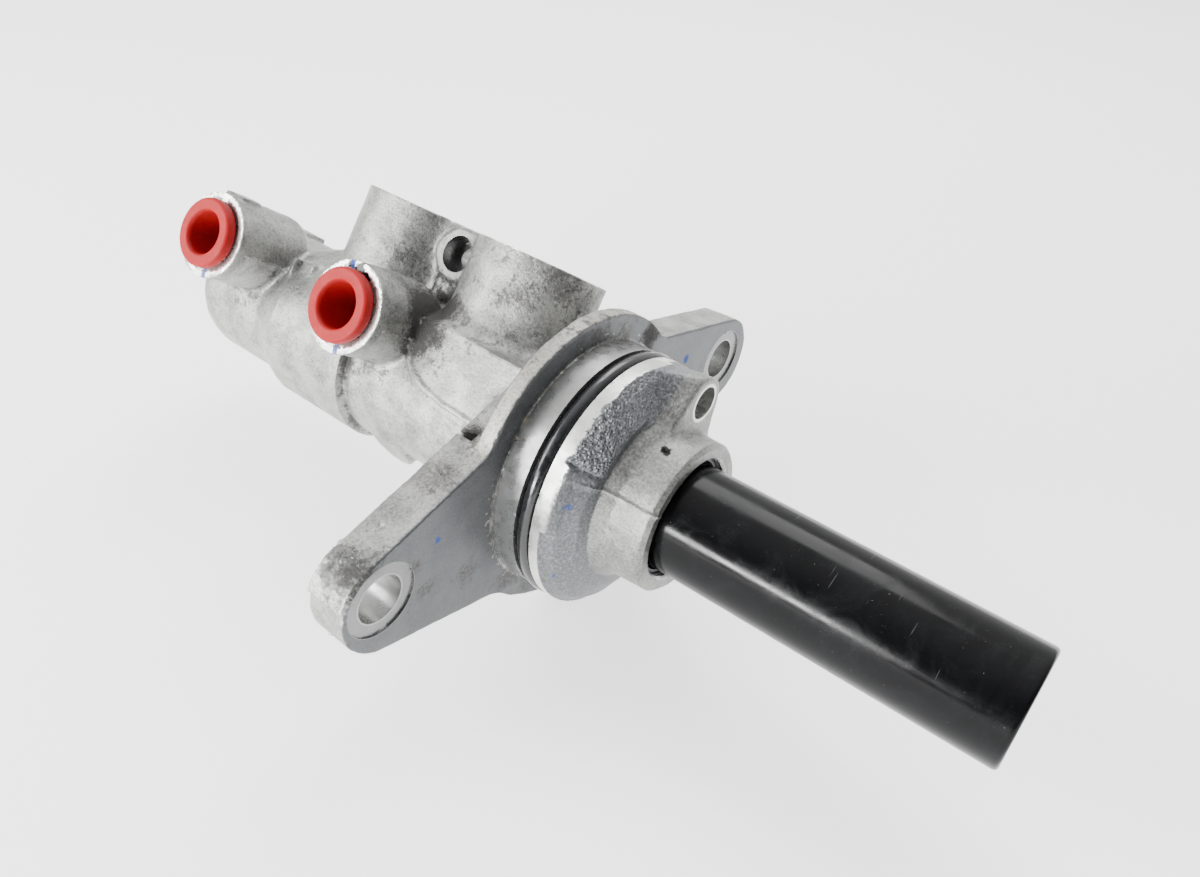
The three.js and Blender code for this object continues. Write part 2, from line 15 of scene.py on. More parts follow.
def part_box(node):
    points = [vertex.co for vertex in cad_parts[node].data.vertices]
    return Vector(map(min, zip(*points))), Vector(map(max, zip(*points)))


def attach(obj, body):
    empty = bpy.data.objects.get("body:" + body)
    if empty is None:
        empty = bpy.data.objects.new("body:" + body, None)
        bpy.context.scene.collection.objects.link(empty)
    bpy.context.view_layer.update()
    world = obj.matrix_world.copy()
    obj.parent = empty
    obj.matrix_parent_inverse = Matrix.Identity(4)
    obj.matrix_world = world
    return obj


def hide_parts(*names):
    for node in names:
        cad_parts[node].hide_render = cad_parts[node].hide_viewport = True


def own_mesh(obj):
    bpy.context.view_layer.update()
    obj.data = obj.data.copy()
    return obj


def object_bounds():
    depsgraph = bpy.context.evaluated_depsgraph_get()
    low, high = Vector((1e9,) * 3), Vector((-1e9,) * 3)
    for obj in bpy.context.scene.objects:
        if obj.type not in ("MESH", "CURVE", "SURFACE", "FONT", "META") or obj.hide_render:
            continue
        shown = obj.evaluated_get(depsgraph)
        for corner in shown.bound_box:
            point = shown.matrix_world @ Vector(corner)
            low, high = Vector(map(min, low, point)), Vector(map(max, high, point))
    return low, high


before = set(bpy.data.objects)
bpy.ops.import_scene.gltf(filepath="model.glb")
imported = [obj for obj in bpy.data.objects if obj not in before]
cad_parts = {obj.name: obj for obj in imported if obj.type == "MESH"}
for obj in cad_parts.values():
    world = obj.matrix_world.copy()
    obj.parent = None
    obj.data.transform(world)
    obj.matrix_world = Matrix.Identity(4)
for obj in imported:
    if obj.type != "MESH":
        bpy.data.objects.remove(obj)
CAD_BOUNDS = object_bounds()

MM = 0.001
CLOCKING = math.radians(34.25)      # the casting's reservoir side, about the bore
TURN_COS, TURN_SIN = math.cos(CLOCKING), math.sin(CLOCKING)
ALONG = np.float32((1, 0, 0))       # along the bore, in the part's frame and in the casting's own
UP = np.float32((0, 0, 1))          # in the casting's own frame: x, sideways, up
OUT = np.float32((0, -1, 0))        # the way the outlets point


def box_mm(node):
    """A CAD node's lowest and highest corners, in millimetres."""
    low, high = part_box(node)
    return np.array(low) / MM, np.array(high) / MM


# ---------------- sizes

PISTON_LOW, PISTON_HIGH = box_mm("primary_piston")
RING_LOW, RING_HIGH = box_mm("spigot_o_ring")
BODY_LOW, BODY_HIGH = box_mm("body_casting")

BARREL_R = 14.9
BARREL_SAG = 0.7
BARREL_BULGE_R = 17.2
FRONT_BOSS = {"x": -58.8, "r": 11.7, "bore": 8.4, "depth": 16}
REAR_BOSS = {"x": -25.4, "r": 13.3, "bore": 9.6, "depth": 15}
BOSS_TOP = 30.58
OUTLET_XS = (-83.0, -42.9)
OUTLET_RISE = 8.2
OUTLET_FACE = 27.2
OUTLET_R = 8.9
OUTLET_BORE_R = 5.6
FLANGE_R = 29.0
FLANGE_RIM = 3.4
EAR_THICK = 8.6
EAR_PROUD = 0.35                    # cast proud of the rear face, so that milling runs over the ears
STUD_Y = 48.7
STUD_R = 4.35
SEAT_R = STUD_R + 2.4
SEAT_DEPTH = 0.4
EARS = (
    {"side": 1, "y": 48.6, "z": -0.6, "r": 9.95},
    {"side": -1, "y": 46.6, "z": -1.4, "r": 9.85},
)
EAR_ROOT_R = 22.2
SPIGOT_R = 24.1
GROOVE = {"x0": 5.0, "x1": 8.4, "r": 21.4}
LAND_END = 12.0
NECK_R = 14.6
NOSE_END = 24.7
NOSE_BORE_R = 11.5
LUG = {"y": 10.0, "z": 17.0, "face": 18.6, "r": 5.0, "hole": 3.1, "floor": 9.8}
LUG_REACH = 24.7
WEB_HOLE = {"x": -41.2, "up": 25.0, "bore": 2.3, "mouth": 3.7, "face": 5.6}
NOSE_TURNS = {"patch": 66, "rough": 74, "step": 139, "land": 171}   # degrees from +Y towards +Z
MOULD_GAP = 0.1                     # how far the cast skin stays inside the CAD's outline
CELL = 0.42


# ---------------- signed distance fields

def join(a, b, soft):
    """Union with a fillet about as wide as soft."""
    h = np.clip(0.5 + 0.5 * (b - a) / soft, 0, 1)
    return b + (a - b) * h - soft * h * (1 - h)


def meet(a, b, soft):
    """Intersection with a rounded edge."""
    return -join(-a, -b, soft)


def carve(a, tool, soft=0.12):
    """Takes the tool away from a."""
    return meet(a, -tool, soft)


def polygon(a, b, points):
    """Distance to a closed outline in two dimensions."""
    best = np.full(a.shape, 1e6, np.float32)
    inside = np.zeros(a.shape, bool)
    for (a0, b0), (a1, b1) in zip(points, points[1:] + points[:1]):
        ea, eb = a1 - a0, b1 - b0
        wa, wb = a - a0, b - b0
        t = np.clip((wa * ea + wb * eb) / (ea * ea + eb * eb), 0, 1)
        best = np.minimum(best, (wa - ea * t) ** 2 + (wb - eb * t) ** 2)
        crosses = (wb >= 0) != (b - b1 >= 0)
        inside ^= crosses & ((wa * eb > wb * ea) == (eb > 0))
    best = np.sqrt(best)
    return np.where(inside, -best, best)


def turned(x, r, profile):
    """A solid of revolution from (x, radius) pairs that run from one end to the other."""
    (x0, _), (x1, _) = profile[0], profile[-1]
    return polygon(x, r, [(x0, -60.0)] + profile + [(x1, -60.0)])


def bar(p, foot, way, length, radius, edge=0.6, taper=0.0):
    """A round bar from foot along way, its end edges rounded, narrowing by taper per millimetre."""
    q = p - np.float32(foot)
    run = q @ way
    out = np.sqrt(np.maximum((q * q).sum(1) - run * run, 0))
    return meet(out - radius + taper * run, np.abs(run - length / 2) - length / 2, edge)


def block(p, low, high, edge=0.8):
    """A box with rounded edges."""
    low, high = np.float32(low), np.float32(high)
    d = np.abs(p - (low + high) / 2) - ((high - low) / 2 - edge)
    outside = np.sqrt((np.maximum(d, 0) ** 2).sum(1))
    return outside + np.minimum(d.max(1), 0) - edge


def stretched_circle(a, b, big_r, small_r, reach):
    """Distance to two circles on the a axis, at 0 and at reach, and their shared tangents."""
    b = np.abs(b)
    lean = (big_r - small_r) / reach
    flat = math.sqrt(1 - lean * lean)
    k = -lean * b + flat * a
    big = np.hypot(a, b) - big_r
    small = np.hypot(a - reach, b) - small_r
    side = a * lean + b * flat - big_r
    return np.where(k < 0, big, np.where(k > flat * reach, small, side))


def noise(p, size, seed=0):
    """Smooth value noise between -1 and 1."""
    q = p / size
    base = np.floor(q)
    f = q - base
    f = f * f * (3 - 2 * f)
    base = base.astype(np.int64)
    total = np.zeros(len(p), np.float32)
    for corner in range(8):
        step = np.array([corner & 1, corner >> 1 & 1, corner >> 2 & 1])
        i, j, k = (base + step).T
        h = (i * 73856093) ^ (j * 19349663) ^ (k * 83492791) ^ (seed * 2654435)
        h = ((h ^ (h >> 13)) * 1274126177) & 0xFFFFFFFF
        h = (h ^ (h >> 16)) & 0xFFFF
        weight = np.where(step, f, 1 - f).prod(1)
        total += (weight * h / 0x7FFF).astype(np.float32)
    return total - 1


# ---------------- meshing a field

BLOCK = 4           # cells along each side of a coarse block
BATCH = 50000


def evaluate(field, points):
    """A field's value at many points, a batch at a time."""
    parts = [field(points[i:i + BATCH]) for i in range(0, len(points), BATCH)]
    return np.concatenate(parts)


def gradient(field, points, step=0.03):
    """The field's unit slope, from the four corners of a small tetrahedron."""
    corners = np.float32([(1, 1, 1), (1, -1, -1), (-1, 1, -1), (-1, -1, 1)])
    slope = sum(c * evaluate(field, points + c * step)[:, None] for c in corners)
    return slope / np.maximum(np.linalg.norm(slope, axis=1, keepdims=True), 1e-9)


def grid_values(field, low, high, cell):
    """The field on the nodes of a grid, left blank away from the surface."""
    shape = np.ceil((high - low) / (cell * BLOCK)).astype(int)
    middles = np.stack(np.indices(shape), -1).reshape(-1, 3) + 0.5
    middles = (low + middles * cell * BLOCK).astype(np.float32)
    reach = cell * BLOCK * math.sqrt(3) / 2 + 1.3
    near = (np.abs(evaluate(field, middles)) < reach).reshape(shape)
    for axis in range(3):
        near = near.repeat(BLOCK, axis)
    wanted = np.zeros(np.array(near.shape) + 1, bool)
    nx, ny, nz = near.shape
    for dx in (0, 1):
        for dy in (0, 1):
            for dz in (0, 1):
                wanted[dx:dx + nx, dy:dy + ny, dz:dz + nz] |= near
    values = np.full(wanted.shape, np.nan, np.float32)
    nodes = np.stack(np.nonzero(wanted), 1)
    values[wanted] = evaluate(field, (low + nodes * cell).astype(np.float32))
    return values


def crossings(field, values, low, cell):
    """Where grid edges pass through the surface, and the four cells round each one."""
    cells = np.array(values.shape) - 1
    stride = np.array([cells[1] * cells[2], cells[2], 1])
    points, rings = [], []
    for axis in range(3):
        first = np.take(values, range(cells[axis]), axis)
        second = np.take(values, range(1, cells[axis] + 1), axis)
        known = ~(np.isnan(first) | np.isnan(second))
        start = np.stack(np.nonzero(known & ((first < 0) != (second < 0))), 1)
        a, b = first[tuple(start.T)], second[tuple(start.T)]
        way = np.eye(3, dtype=np.float32)[axis]
        p0 = (low + start * cell).astype(np.float32)
        t0, t1 = np.zeros_like(a), np.ones_like(a)
        for _ in range(3):
            t = t0 + (t1 - t0) * a / (a - b)
            value = evaluate(field, p0 + way * (t * cell)[:, None])
            same = (value < 0) == (a < 0)
            t0, a = np.where(same, t, t0), np.where(same, value, a)
            t1, b = np.where(same, t1, t), np.where(same, b, value)
        points.append(p0 + way * (t * cell)[:, None])
        u, v = np.eye(3, dtype=int)[(axis + 1) % 3], np.eye(3, dtype=int)[(axis + 2) % 3]
        ring = np.stack([start - u - v, start - v, start, start - u], 1) @ stride
        outward = first[tuple(start.T)] < 0
        rings.append(np.where(outward[:, None], ring, ring[:, ::-1]))
    return np.concatenate(points), np.concatenate(rings), cells


def contour(field, low, high, cell):
    """Dual contouring: the field's surface as quads, with its sharp edges kept."""
    low, high = np.array(low, float), np.array(high, float)
    values = grid_values(field, low, high, cell)
    points, rings, cells = crossings(field, values, low, cell)
    normals = gradient(field, points)
    ids, ring = np.unique(rings, return_inverse=True)
    ring = ring.reshape(-1, 4)
    slot = ring.ravel()
    count = np.bincount(slot)

    def gather(per_edge):
        return np.bincount(slot, np.repeat(per_edge, 4), len(ids))

    mean = np.stack([gather(points[:, i]) for i in range(3)], 1) / count[:, None]
    offset = (normals * points).sum(1)
    matrix = np.stack([[gather(normals[:, i] * normals[:, j]) for j in range(3)] for i in range(3)])
    pull = 0.06 * np.eye(3)         # towards the mean, where the slopes leave a direction open
    matrix = matrix.transpose(2, 0, 1) + pull
    right = np.stack([gather(normals[:, i] * offset) for i in range(3)], 1)
    right -= np.einsum("nij,nj->ni", matrix - pull, mean)
    verts = mean + np.linalg.solve(matrix, right[..., None])[..., 0]
    corner = low + np.stack(np.unravel_index(ids, cells), 1) * cell
    return np.clip(verts, corner, corner + cell).astype(np.float32), ring


# ---------------- the casting's shape

def arc(x, r, radius_x, radius_r, start, end, steps):
    """Points on an ellipse's stretch, angles in degrees from the +x direction."""
    turns = [math.radians(start + (end - start) * i / steps) for i in range(steps + 1)]
    return [(x + radius_x * math.cos(t), r + radius_r * math.sin(t)) for t in turns]


BARREL_FRONT = -100.5
BARREL_STEP = -48.0
BARREL = arc(BARREL_FRONT + 9, BARREL_R - 6.4, 9, 6.4, 180, 90, 8) + [
    (-77, BARREL_R),
    (-70, BARREL_BULGE_R),
    (BARREL_STEP - 0.6, BARREL_BULGE_R),
    (BARREL_STEP, BARREL_R + 0.8),
    (BARREL_STEP + 0.8, BARREL_R + 0.65),
    (-46.2, BARREL_R + 0.95),
    (-17, BARREL_R + 0.5),
    (-10, 18.4),
    (-5.6, 23.4),
    (-1, 25.6),
]
SPIGOT = [
    (-1, SPIGOT_R),
    (GROOVE["x0"], SPIGOT_R),
    (GROOVE["x0"], GROOVE["r"]),
    (GROOVE["x1"], GROOVE["r"]),
    (GROOVE["x1"], SPIGOT_R),
    (LAND_END - 1.5, SPIGOT_R),
    (LAND_END - 1.2, SPIGOT_R - 0.3),
]
NOSE_CONE = [
    (8.6, SPIGOT_R - 0.3),
    (LAND_END - 1.2, SPIGOT_R - 0.3),
    (LAND_END + 0.3, SPIGOT_R - 1.6),
    (LAND_END + 2.3, NECK_R + 4.2),
    (LAND_END + 2.9, NECK_R + 1.7),
    (LAND_END + 5.4, NECK_R + 0.3),
    (NOSE_END - 0.8, NECK_R),
    (NOSE_END, NECK_R - 0.8),
]
# where each seal's groove starts and ends along the bore, and its radius
STATIONS = ((-72.0, -67.6, 13.4), (-66.6, -63.4, 12.0), (-62.4, -59.0, 13.4), (-26.0, -21.6, 13.4),
            (-20.4, -16.4, 12.0), (-14.6, -11.2, 13.4))


def bore_profile():
    """The stepped bore, from its blind end to the nose's mouth."""
    land, chamber, bush_seat, ring_start, ring_end, ring_r = 10.72, 11.3, 15.08, 21.75, 23.05, 12.3
    profile = [(-93.5, chamber - 1), (-92.5, chamber), (-73.2, chamber), (-73.2, land)]
    for x0, x1, r in STATIONS:
        if x0 == STATIONS[3][0]:
            profile += [(-57.6, land), (-57.6, chamber), (-27.4, chamber), (-27.4, land)]
        profile += [(x0, land), (x0, r), (x1, r), (x1, land)]
    profile += [(bush_seat, land), (bush_seat, NOSE_BORE_R), (ring_start, NOSE_BORE_R), (ring_start, ring_r)]
    profile += [(ring_end, ring_r), (ring_end, NOSE_BORE_R), (NOSE_END - 0.7, NOSE_BORE_R)]
    return profile + [(NOSE_END + 0.1, NOSE_BORE_R + 0.8), (NOSE_END + 2, NOSE_BORE_R + 0.8)]


def to_casting(p):
    """From the part's frame to the casting's: x, sideways, up."""
    turn = np.float32([(1, 0, 0), (0, TURN_COS, TURN_SIN), (0, -TURN_SIN, TURN_COS)])
    return p @ turn


def ears(p):
    """The two tapered ears, drafted a little towards their front edges."""
    lean = 0.03 * (p[:, 0] + EAR_THICK)
    plates = []
    for ear in EARS:
        flat = stretched_circle(ear["side"] * p[:, 1], p[:, 2] - ear["z"], EAR_ROOT_R, ear["r"], ear["y"])
        plates.append(flat + 0.15 - lean)
    flat = np.minimum(*plates)
    middle, half = (EAR_PROUD - EAR_THICK) / 2, (EAR_PROUD + EAR_THICK) / 2
    return meet(flat, np.abs(p[:, 0] - middle) - half, 1.0)


def nose_lug(p):
    """The triangular lug on the nose."""
    reach = math.hypot(LUG["y"], LUG["z"])
    ay, az = LUG["y"] / reach, LUG["z"] / reach
    run = p[:, 1] * ay + p[:, 2] * az
    across = p[:, 2] * ay - p[:, 1] * az
    flat = stretched_circle(run - 9.5, across, 8.6, LUG["r"], reach - 9.5)
    rise = np.maximum(LUG["face"] - p[:, 0], 0)
    flank = np.clip(across / 4, 0, 1)
    flat = (flat - rise * (0.1 + 0.42 * flank)) * (1 - 0.12 * flank)
    flat = meet(flat, np.hypot(p[:, 1], p[:, 2]) - LUG_REACH + 0.12 * rise, 0.8)
    middle = (GROOVE["x1"] + 0.6 + LUG["face"]) / 2
    return meet(flat, np.abs(p[:, 0] - middle) - (LUG["face"] - middle), 0.7)


def sector(p, start, end):
    """One between two angles about the bore, in degrees from +Y towards +Z, and nought outside."""
    turn = np.degrees(np.arctan2(p[:, 2], p[:, 1])) % 360
    return np.clip((turn - start) / 2.5, 0, 1) * np.clip((end - turn) / 2.5, 0, 1)


def rough_patch(p):
    """How coarse the mould's skin is on the nose's shoulder."""
    turn = np.degrees(np.arctan2(p[:, 2], p[:, 1]))
    r = np.hypot(p[:, 1], p[:, 2])
    along = np.clip((turn - NOSE_TURNS["rough"]) / 30, 0, 1) * np.clip((NOSE_TURNS["step"] - turn) / 2, 0, 1)
    return along * np.clip((r - 17.6) / 2.2, 0, 1) * (p[:, 0] > 9)


def gate_mark(p):
    """The broken-off gate and the flash on the near ear's tip, placed by their turn round it in degrees."""
    ear = EARS[1]
    y, z = p[:, 1] + ear["y"], p[:, 2] - ear["z"]
    turn, per_degree = np.degrees(np.arctan2(z, -y)), 0.17
    out = np.hypot(y, z) - ear["r"]
    gate_turn, gate_half, flash_turn, flash_half = 49, 28, -58, 14
    thick = 0.56 * np.clip((84 - turn) / 55, 0, 1)
    gate = np.maximum((np.abs(turn - gate_turn) - gate_half) * per_degree, np.abs(p[:, 0] + 4.3) - 3.9)
    gate = np.maximum(gate, np.abs(out) - thick - 0.12 * noise(p, 0.9, 21))
    flash = np.maximum((np.abs(turn - flash_turn) - flash_half) * per_degree, np.abs(out - 0.2) - 0.55)
    flash = np.maximum(flash, np.abs(p[:, 0] + 7.2) - 0.5 - 0.2 * noise(p, 1.5, 4))
    return np.minimum(gate, flash)


PITS = (
    {"at": (14.2, 8.4, 16.0), "r": 0.85, "sink": 0.2},
    {"at": (19.6, -3.0, 14.5), "r": 1.2, "sink": 0.75},
    {"at": (-5.0, -44.0, 9.6), "r": 0.7, "sink": 0.2},
)


def ear_pocket(p):
    """The small three-sided pocket on the near ear, beside the flange."""
    outline = [(-10.2, -23.8), (-5.0, -21.3), (-5.0, -23.9)]
    return np.maximum(polygon(p[:, 0], p[:, 1], outline), np.abs(p[:, 2] - 15.2) - 2.4)


def pits(p, d):
    """Small blow holes in the cast skin."""
    for pit in PITS:
        away = np.linalg.norm(p - np.float32(pit["at"]), axis=1) - pit["r"]
        d = meet(d, -(away + pit["sink"]), 0.3)
    return d


def reservoir_boss(c, boss, low=0.0, grow=0.25):
    """A drafted boss for the reservoir, from low up to its milled top."""
    return bar(c, (boss["x"], 0, low), UP, BOSS_TOP - low, boss["r"] + grow, 0.3, 0.008)


def reservoir_side(c):
    """The two bosses and the web between them, with its bored pad and ejector mark."""
    x, up, face, mouth = (WEB_HOLE[k] for k in ("x", "up", "face", "mouth"))
    web = block(c, (FRONT_BOSS["x"], -4, 5), (REAR_BOSS["x"], 4, BOSS_TOP - 0.6))
    pad = bar(c, (x, 4, up), OUT, 4 + face, mouth + 1.6)
    stem = block(c, (x - 3.4, -face + 0.8, 10), (x + 3.4, 4, up), 0.9)
    rib = block(c, (x - 3.9, -face + 0.2, 16), (x - 2.7, 4, up), 0.4)
    ejector = bar(c, (x + 0.4, 0, 17.2), OUT, face, 1.9, 0.3)
    d = join(reservoir_boss(c, FRONT_BOSS), reservoir_boss(c, REAR_BOSS), 1.0)
    d = join(d, web, 3.6)
    d = join(d, join(pad, stem, 1.2), 2.2)
    return join(d, join(rib, ejector, 0.5), 0.5)


def outlet_boss(c, x):
    """A round boss with a domed inner end, a parting ridge and a thin collar at its face."""
    foot = (x, -7, OUTLET_RISE)
    length = OUTLET_FACE - 7
    body = bar(c, foot, OUT, length, OUTLET_R + 0.1, 4.5, 0.004)
    front = bar(c, (x, -16, OUTLET_RISE), OUT, length - 9, OUTLET_R, 0.35)
    collar = bar(c, (x, -OUTLET_FACE + 2.2, OUTLET_RISE), OUT, 2.2, OUTLET_R - 0.15, 0.2)
    ridge = block(c, (x - OUTLET_R - 0.4, -OUTLET_FACE + 2, OUTLET_RISE - 1.2),
                  (x + OUTLET_R + 0.4, -9, OUTLET_RISE - 0.65), 0.12)
    drop = np.clip((OUTLET_RISE - 0.9 - c[:, 2]) / 0.15, 0, 1)
    drop = 0.32 * drop * np.clip((c[:, 1] + OUTLET_FACE - 1) / 0.6, 0, 1)
    return join(join(join(body, front, 0.5) + drop, collar, 0.2), ridge, 0.15)


BLOCK_EDGE = [(-34.2, 12.0), (-34.0, 6.2), (-33.0, 3.6), (-31.2, 1.9),
              (-27.0, 0.1), (-22.0, -0.7), (-3.0, -1.6)]
BLOCK_HALF = 16.4
CAST_PADS = (
    # lowest and highest corner in the casting's frame, and the edges' rounding
    ((-96.5, -2, 9), (-86, 4.5, 14.9), 0.5),
    ((OUTLET_XS[0] - 3, -25.3, 9), (OUTLET_XS[0] + 2.6, -20.6, OUTLET_RISE + OUTLET_R + 0.55), 0.35),
    ((-72.2, -15.6, 3), (-70.9, -6, 10.6), 0.5),
    ((-70.6, -14.6, 8.0), (-66.6, -6, 11.0), 0.7),
    ((-73, -1.6, 10), (-60, 1.6, 18.2), 1.2),
    ((-14, -2, 16), (-1.5, 2, 24.5), 0.8),
)


def cast_details(c):
    """The block under the rear boss, small pads, gussets and the foot boss."""
    side = np.abs(c[:, 1])
    upper, lower = BLOCK_EDGE + [(-3, 12)], [(x + 0.7, up - 1.7) for x, up in BLOCK_EDGE] + [(-3, 12)]
    slope = polygon(c[:, 0], c[:, 2], upper)
    d = meet(slope, side - BLOCK_HALF, 0.4)
    d = join(d, meet(polygon(c[:, 0], c[:, 2], lower), side - BLOCK_HALF + 1.1, 0.4), 0.5)
    bead = np.hypot(slope, side - BLOCK_HALF + 0.1) - 0.6
    d = join(d, np.maximum(bead, c[:, 2] - 7.5), 0.4)
    d = join(d, reservoir_boss(c, REAR_BOSS, 4, 0.2), 6.5)
    for low, high, edge in CAST_PADS:
        d = np.minimum(d, block(c, low, high, edge))
    way = np.float32((0, -3.6, -6.6)) / math.hypot(3.6, 6.6)
    return np.minimum(d, bar(c, (-38, -1, -10), way, 7.5, 5.5, 0.9, 0.06))


def as_cast(p, c):
    """Everything the mould makes."""
    x, r = p[:, 0], np.hypot(p[:, 1], p[:, 2])
    d = turned(x, np.hypot(c[:, 1], c[:, 2] + BARREL_SAG), BARREL)
    d = join(d, reservoir_side(c), 2.0)
    for outlet in OUTLET_XS:
        d = join(d, outlet_boss(c, outlet), 1.6)
    d = join(d, cast_details(c), 0.9)
    rim = meet(r - FLANGE_R, np.abs(x + FLANGE_RIM / 2) - FLANGE_RIM / 2, 0.6)
    d = join(d, join(rim, ears(p), 1.2), 1.4)
    nose = turned(x, r, NOSE_CONE)
    outer = np.clip((r - NECK_R - 2) / 1.5, 0, 1) * (x > 9)
    land = np.clip((LAND_END + 0.6 - x) / 0.8, 0, 1)
    patch, step, last = NOSE_TURNS["patch"], NOSE_TURNS["step"], NOSE_TURNS["land"]
    raised = 0.6 * sector(p, patch, step) + 1.1 * sector(p, step, last) * land
    raised = raised + 0.25 * sector(p, step, step + 8)
    coarse = rough_patch(p) * (0.2 * noise(p, 0.6, 3) + 0.14 * noise(p, 1.0, 8))
    seam = np.clip(1 - np.abs(c[:, 2] - 0.2) / 0.35, 0, 1) * (c[:, 1] < 0) * (x > LAND_END)
    nose = nose - raised * outer - coarse * outer - 0.22 * seam
    d = np.minimum(d, join(nose, nose_lug(p), 1.6))
    d = carve(pits(p, join(d, gate_mark(p), 0.3)), ear_pocket(p), 0.1)
    return d + MOULD_GAP + 0.06 * noise(p, 3.1) + 0.035 * noise(p, 1.3, 5)


def machined(p, c, d):
    """What is left of the casting once its faces, bores and grooves are cut."""
    x, r = p[:, 0], np.hypot(p[:, 1], p[:, 2])
    d = np.minimum(d, turned(x, r, SPIGOT))
    uncut = 1e6
    behind = meet(-x, SPIGOT_R - r, 0.05)
    cuts = [
        np.where((r > 20) & (x < 6), np.maximum(behind, x - 8), uncut),
        np.maximum(GROOVE["r"] - r, np.abs(x - (GROOVE["x0"] + GROOVE["x1"]) / 2) - 1.7),
        np.maximum(SPIGOT_R - r, np.abs(x - 6) - 5.6),
        np.where((c[:, 2] > 20) & (x < -9), BOSS_TOP - c[:, 2], uncut),
        bar(c, (WEB_HOLE["x"], 12, WEB_HOLE["up"]), OUT, 24, WEB_HOLE["bore"], 0.1),
        bar(c, (WEB_HOLE["x"], -1.2, WEB_HOLE["up"]), OUT, 11, WEB_HOLE["mouth"], 0.1),
        bar(p, (LUG["floor"], LUG["y"], LUG["z"]), ALONG, 12, LUG["hole"], 0.2),
    ]
    for boss in (FRONT_BOSS, REAR_BOSS):
        foot = (boss["x"], 0, BOSS_TOP - boss["depth"])
        cuts.append(bar(c, foot, UP, boss["depth"] + 4, boss["bore"], 0.3))
    for outlet in OUTLET_XS:
        away = np.hypot(c[:, 0] - outlet, c[:, 2] - OUTLET_RISE)
        cuts += [
            bar(c, (outlet, -OUTLET_FACE + 11, OUTLET_RISE), OUT, 16, OUTLET_BORE_R, 0.1),
            bar(c, (outlet, -7, OUTLET_RISE), OUT, 10, 2.0, 0.1),
            np.maximum(c[:, 1] + OUTLET_FACE, away - 12),
            np.maximum(c[:, 1] + OUTLET_FACE - 0.3, away - 7.5),
        ]
    for y in (-STUD_Y, STUD_Y):
        cuts.append(bar(p, (-EAR_THICK - 2, y, 0), ALONG, EAR_THICK + 4, STUD_R, 0.1))
        cuts.append(bar(p, (-SEAT_DEPTH, y, 0), ALONG, 4, SEAT_R, 0.15))
    core = r < 17
    if core.any():
        bore = np.full(len(p), uncut, np.float32)
        bore[core] = turned(x[core], r[core], bore_profile())
        cuts.append(bore)
    return carve(d, np.minimum.reduce(cuts), 0.1)


def casting(p):
    """The finished casting's distance field."""
    c = to_casting(p)
    return machined(p, c, as_cast(p, c))


# ---------------- meshes

def put(name, data):
    """An object for some data, in the scene."""
    thing = bpy.data.objects.new(name, data)
    bpy.context.scene.collection.objects.link(thing)
    return thing


def mesh_object(name, verts, faces, sharp=35.0):
    """An object from points in millimetres and faces, smooth shaded with sharp edges by angle."""
    mesh = bpy.data.meshes.new(name)
    faces = np.asarray(faces)
    count, sides = faces.shape
    mesh.vertices.add(len(verts))
    mesh.vertices.foreach_set("co", (np.asarray(verts, float) * MM).ravel())
    mesh.loops.add(count * sides)
    mesh.loops.foreach_set("vertex_index", faces.ravel().astype(np.int32))
    mesh.polygons.add(count)
    mesh.polygons.foreach_set("loop_start", np.arange(0, count * sides, sides, dtype=np.int32))
    mesh.update(calc_edges=True)
    mesh.validate()
    mesh.polygons.foreach_set("use_smooth", np.ones(len(mesh.polygons), bool))
    mesh.set_sharp_from_angle(angle=math.radians(sharp))
    return put(name, mesh)


def grid_quads(rows, columns, closed=True):
    """Faces over rows of points; each row closes on itself, and the last row may meet the first."""
    i, j = np.meshgrid(np.arange(rows if closed else rows - 1), np.arange(columns), indexing="ij")
    i2, j2 = (i + 1) % rows, (j + 1) % columns
    corners = [i * columns + j, i * columns + j2, i2 * columns + j2, i2 * columns + j]
    return np.stack(corners, -1).reshape(-1, 4)


def lathe(name, profile, sides=96, sharp=35.0):
    """Turns a closed outline of (x, radius) pairs about the bore axis."""
    profile = np.array(profile, float)
    turns = np.arange(sides) * 2 * math.pi / sides
    x = np.repeat(profile[:, 0], sides)
    y = np.outer(profile[:, 1], np.cos(turns)).ravel()
    z = np.outer(profile[:, 1], np.sin(turns)).ravel()
    quads = grid_quads(len(profile), sides)
    on_axis = (profile[:, 1] < 1e-6)[quads // sides]
    quads = quads[~on_axis.all(1)]
    area = (profile[:, 0] * np.roll(profile[:, 1], -1) - np.roll(profile[:, 0], -1) * profile[:, 1]).sum()
    if area > 0:
        quads = quads[:, ::-1]
    thing = mesh_object(name, np.stack([x, y, z], 1), quads, sharp)
    merge_points(thing)
    return thing


def merge_points(thing):
    """Joins points that coincide, such as those on the axis."""
    work = bmesh.new()
    work.from_mesh(thing.data)
    bmesh.ops.remove_doubles(work, verts=work.verts, dist=1e-7)
    bmesh.ops.dissolve_degenerate(work, edges=work.edges, dist=1e-7)
    work.to_mesh(thing.data)
    work.free()


def rounded(outline, radius, steps=4):
    """The outline with its corners off the axis rounded, by one radius or one for each corner."""
    count = len(outline)
    radii = [radius] * count if isinstance(radius, (int, float)) else radius
    result = []
    for i, here in enumerate(outline):
        here = np.array(here, float)
        before = np.array(outline[i - 1], float) - here
        after = np.array(outline[(i + 1) % count], float) - here
        size = min(radii[i], 0.45 * np.linalg.norm(before), 0.45 * np.linalg.norm(after))
        if size < 1e-3 or here[1] < 1e-6:
            result.append(tuple(here))
            continue
        a = here + before / np.linalg.norm(before) * size
        b = here + after / np.linalg.norm(after) * size
        for k in range(steps + 1):
            t = k / steps
            result.append(tuple((1 - t) ** 2 * a + 2 * t * (1 - t) * here + t * t * b))
    return result


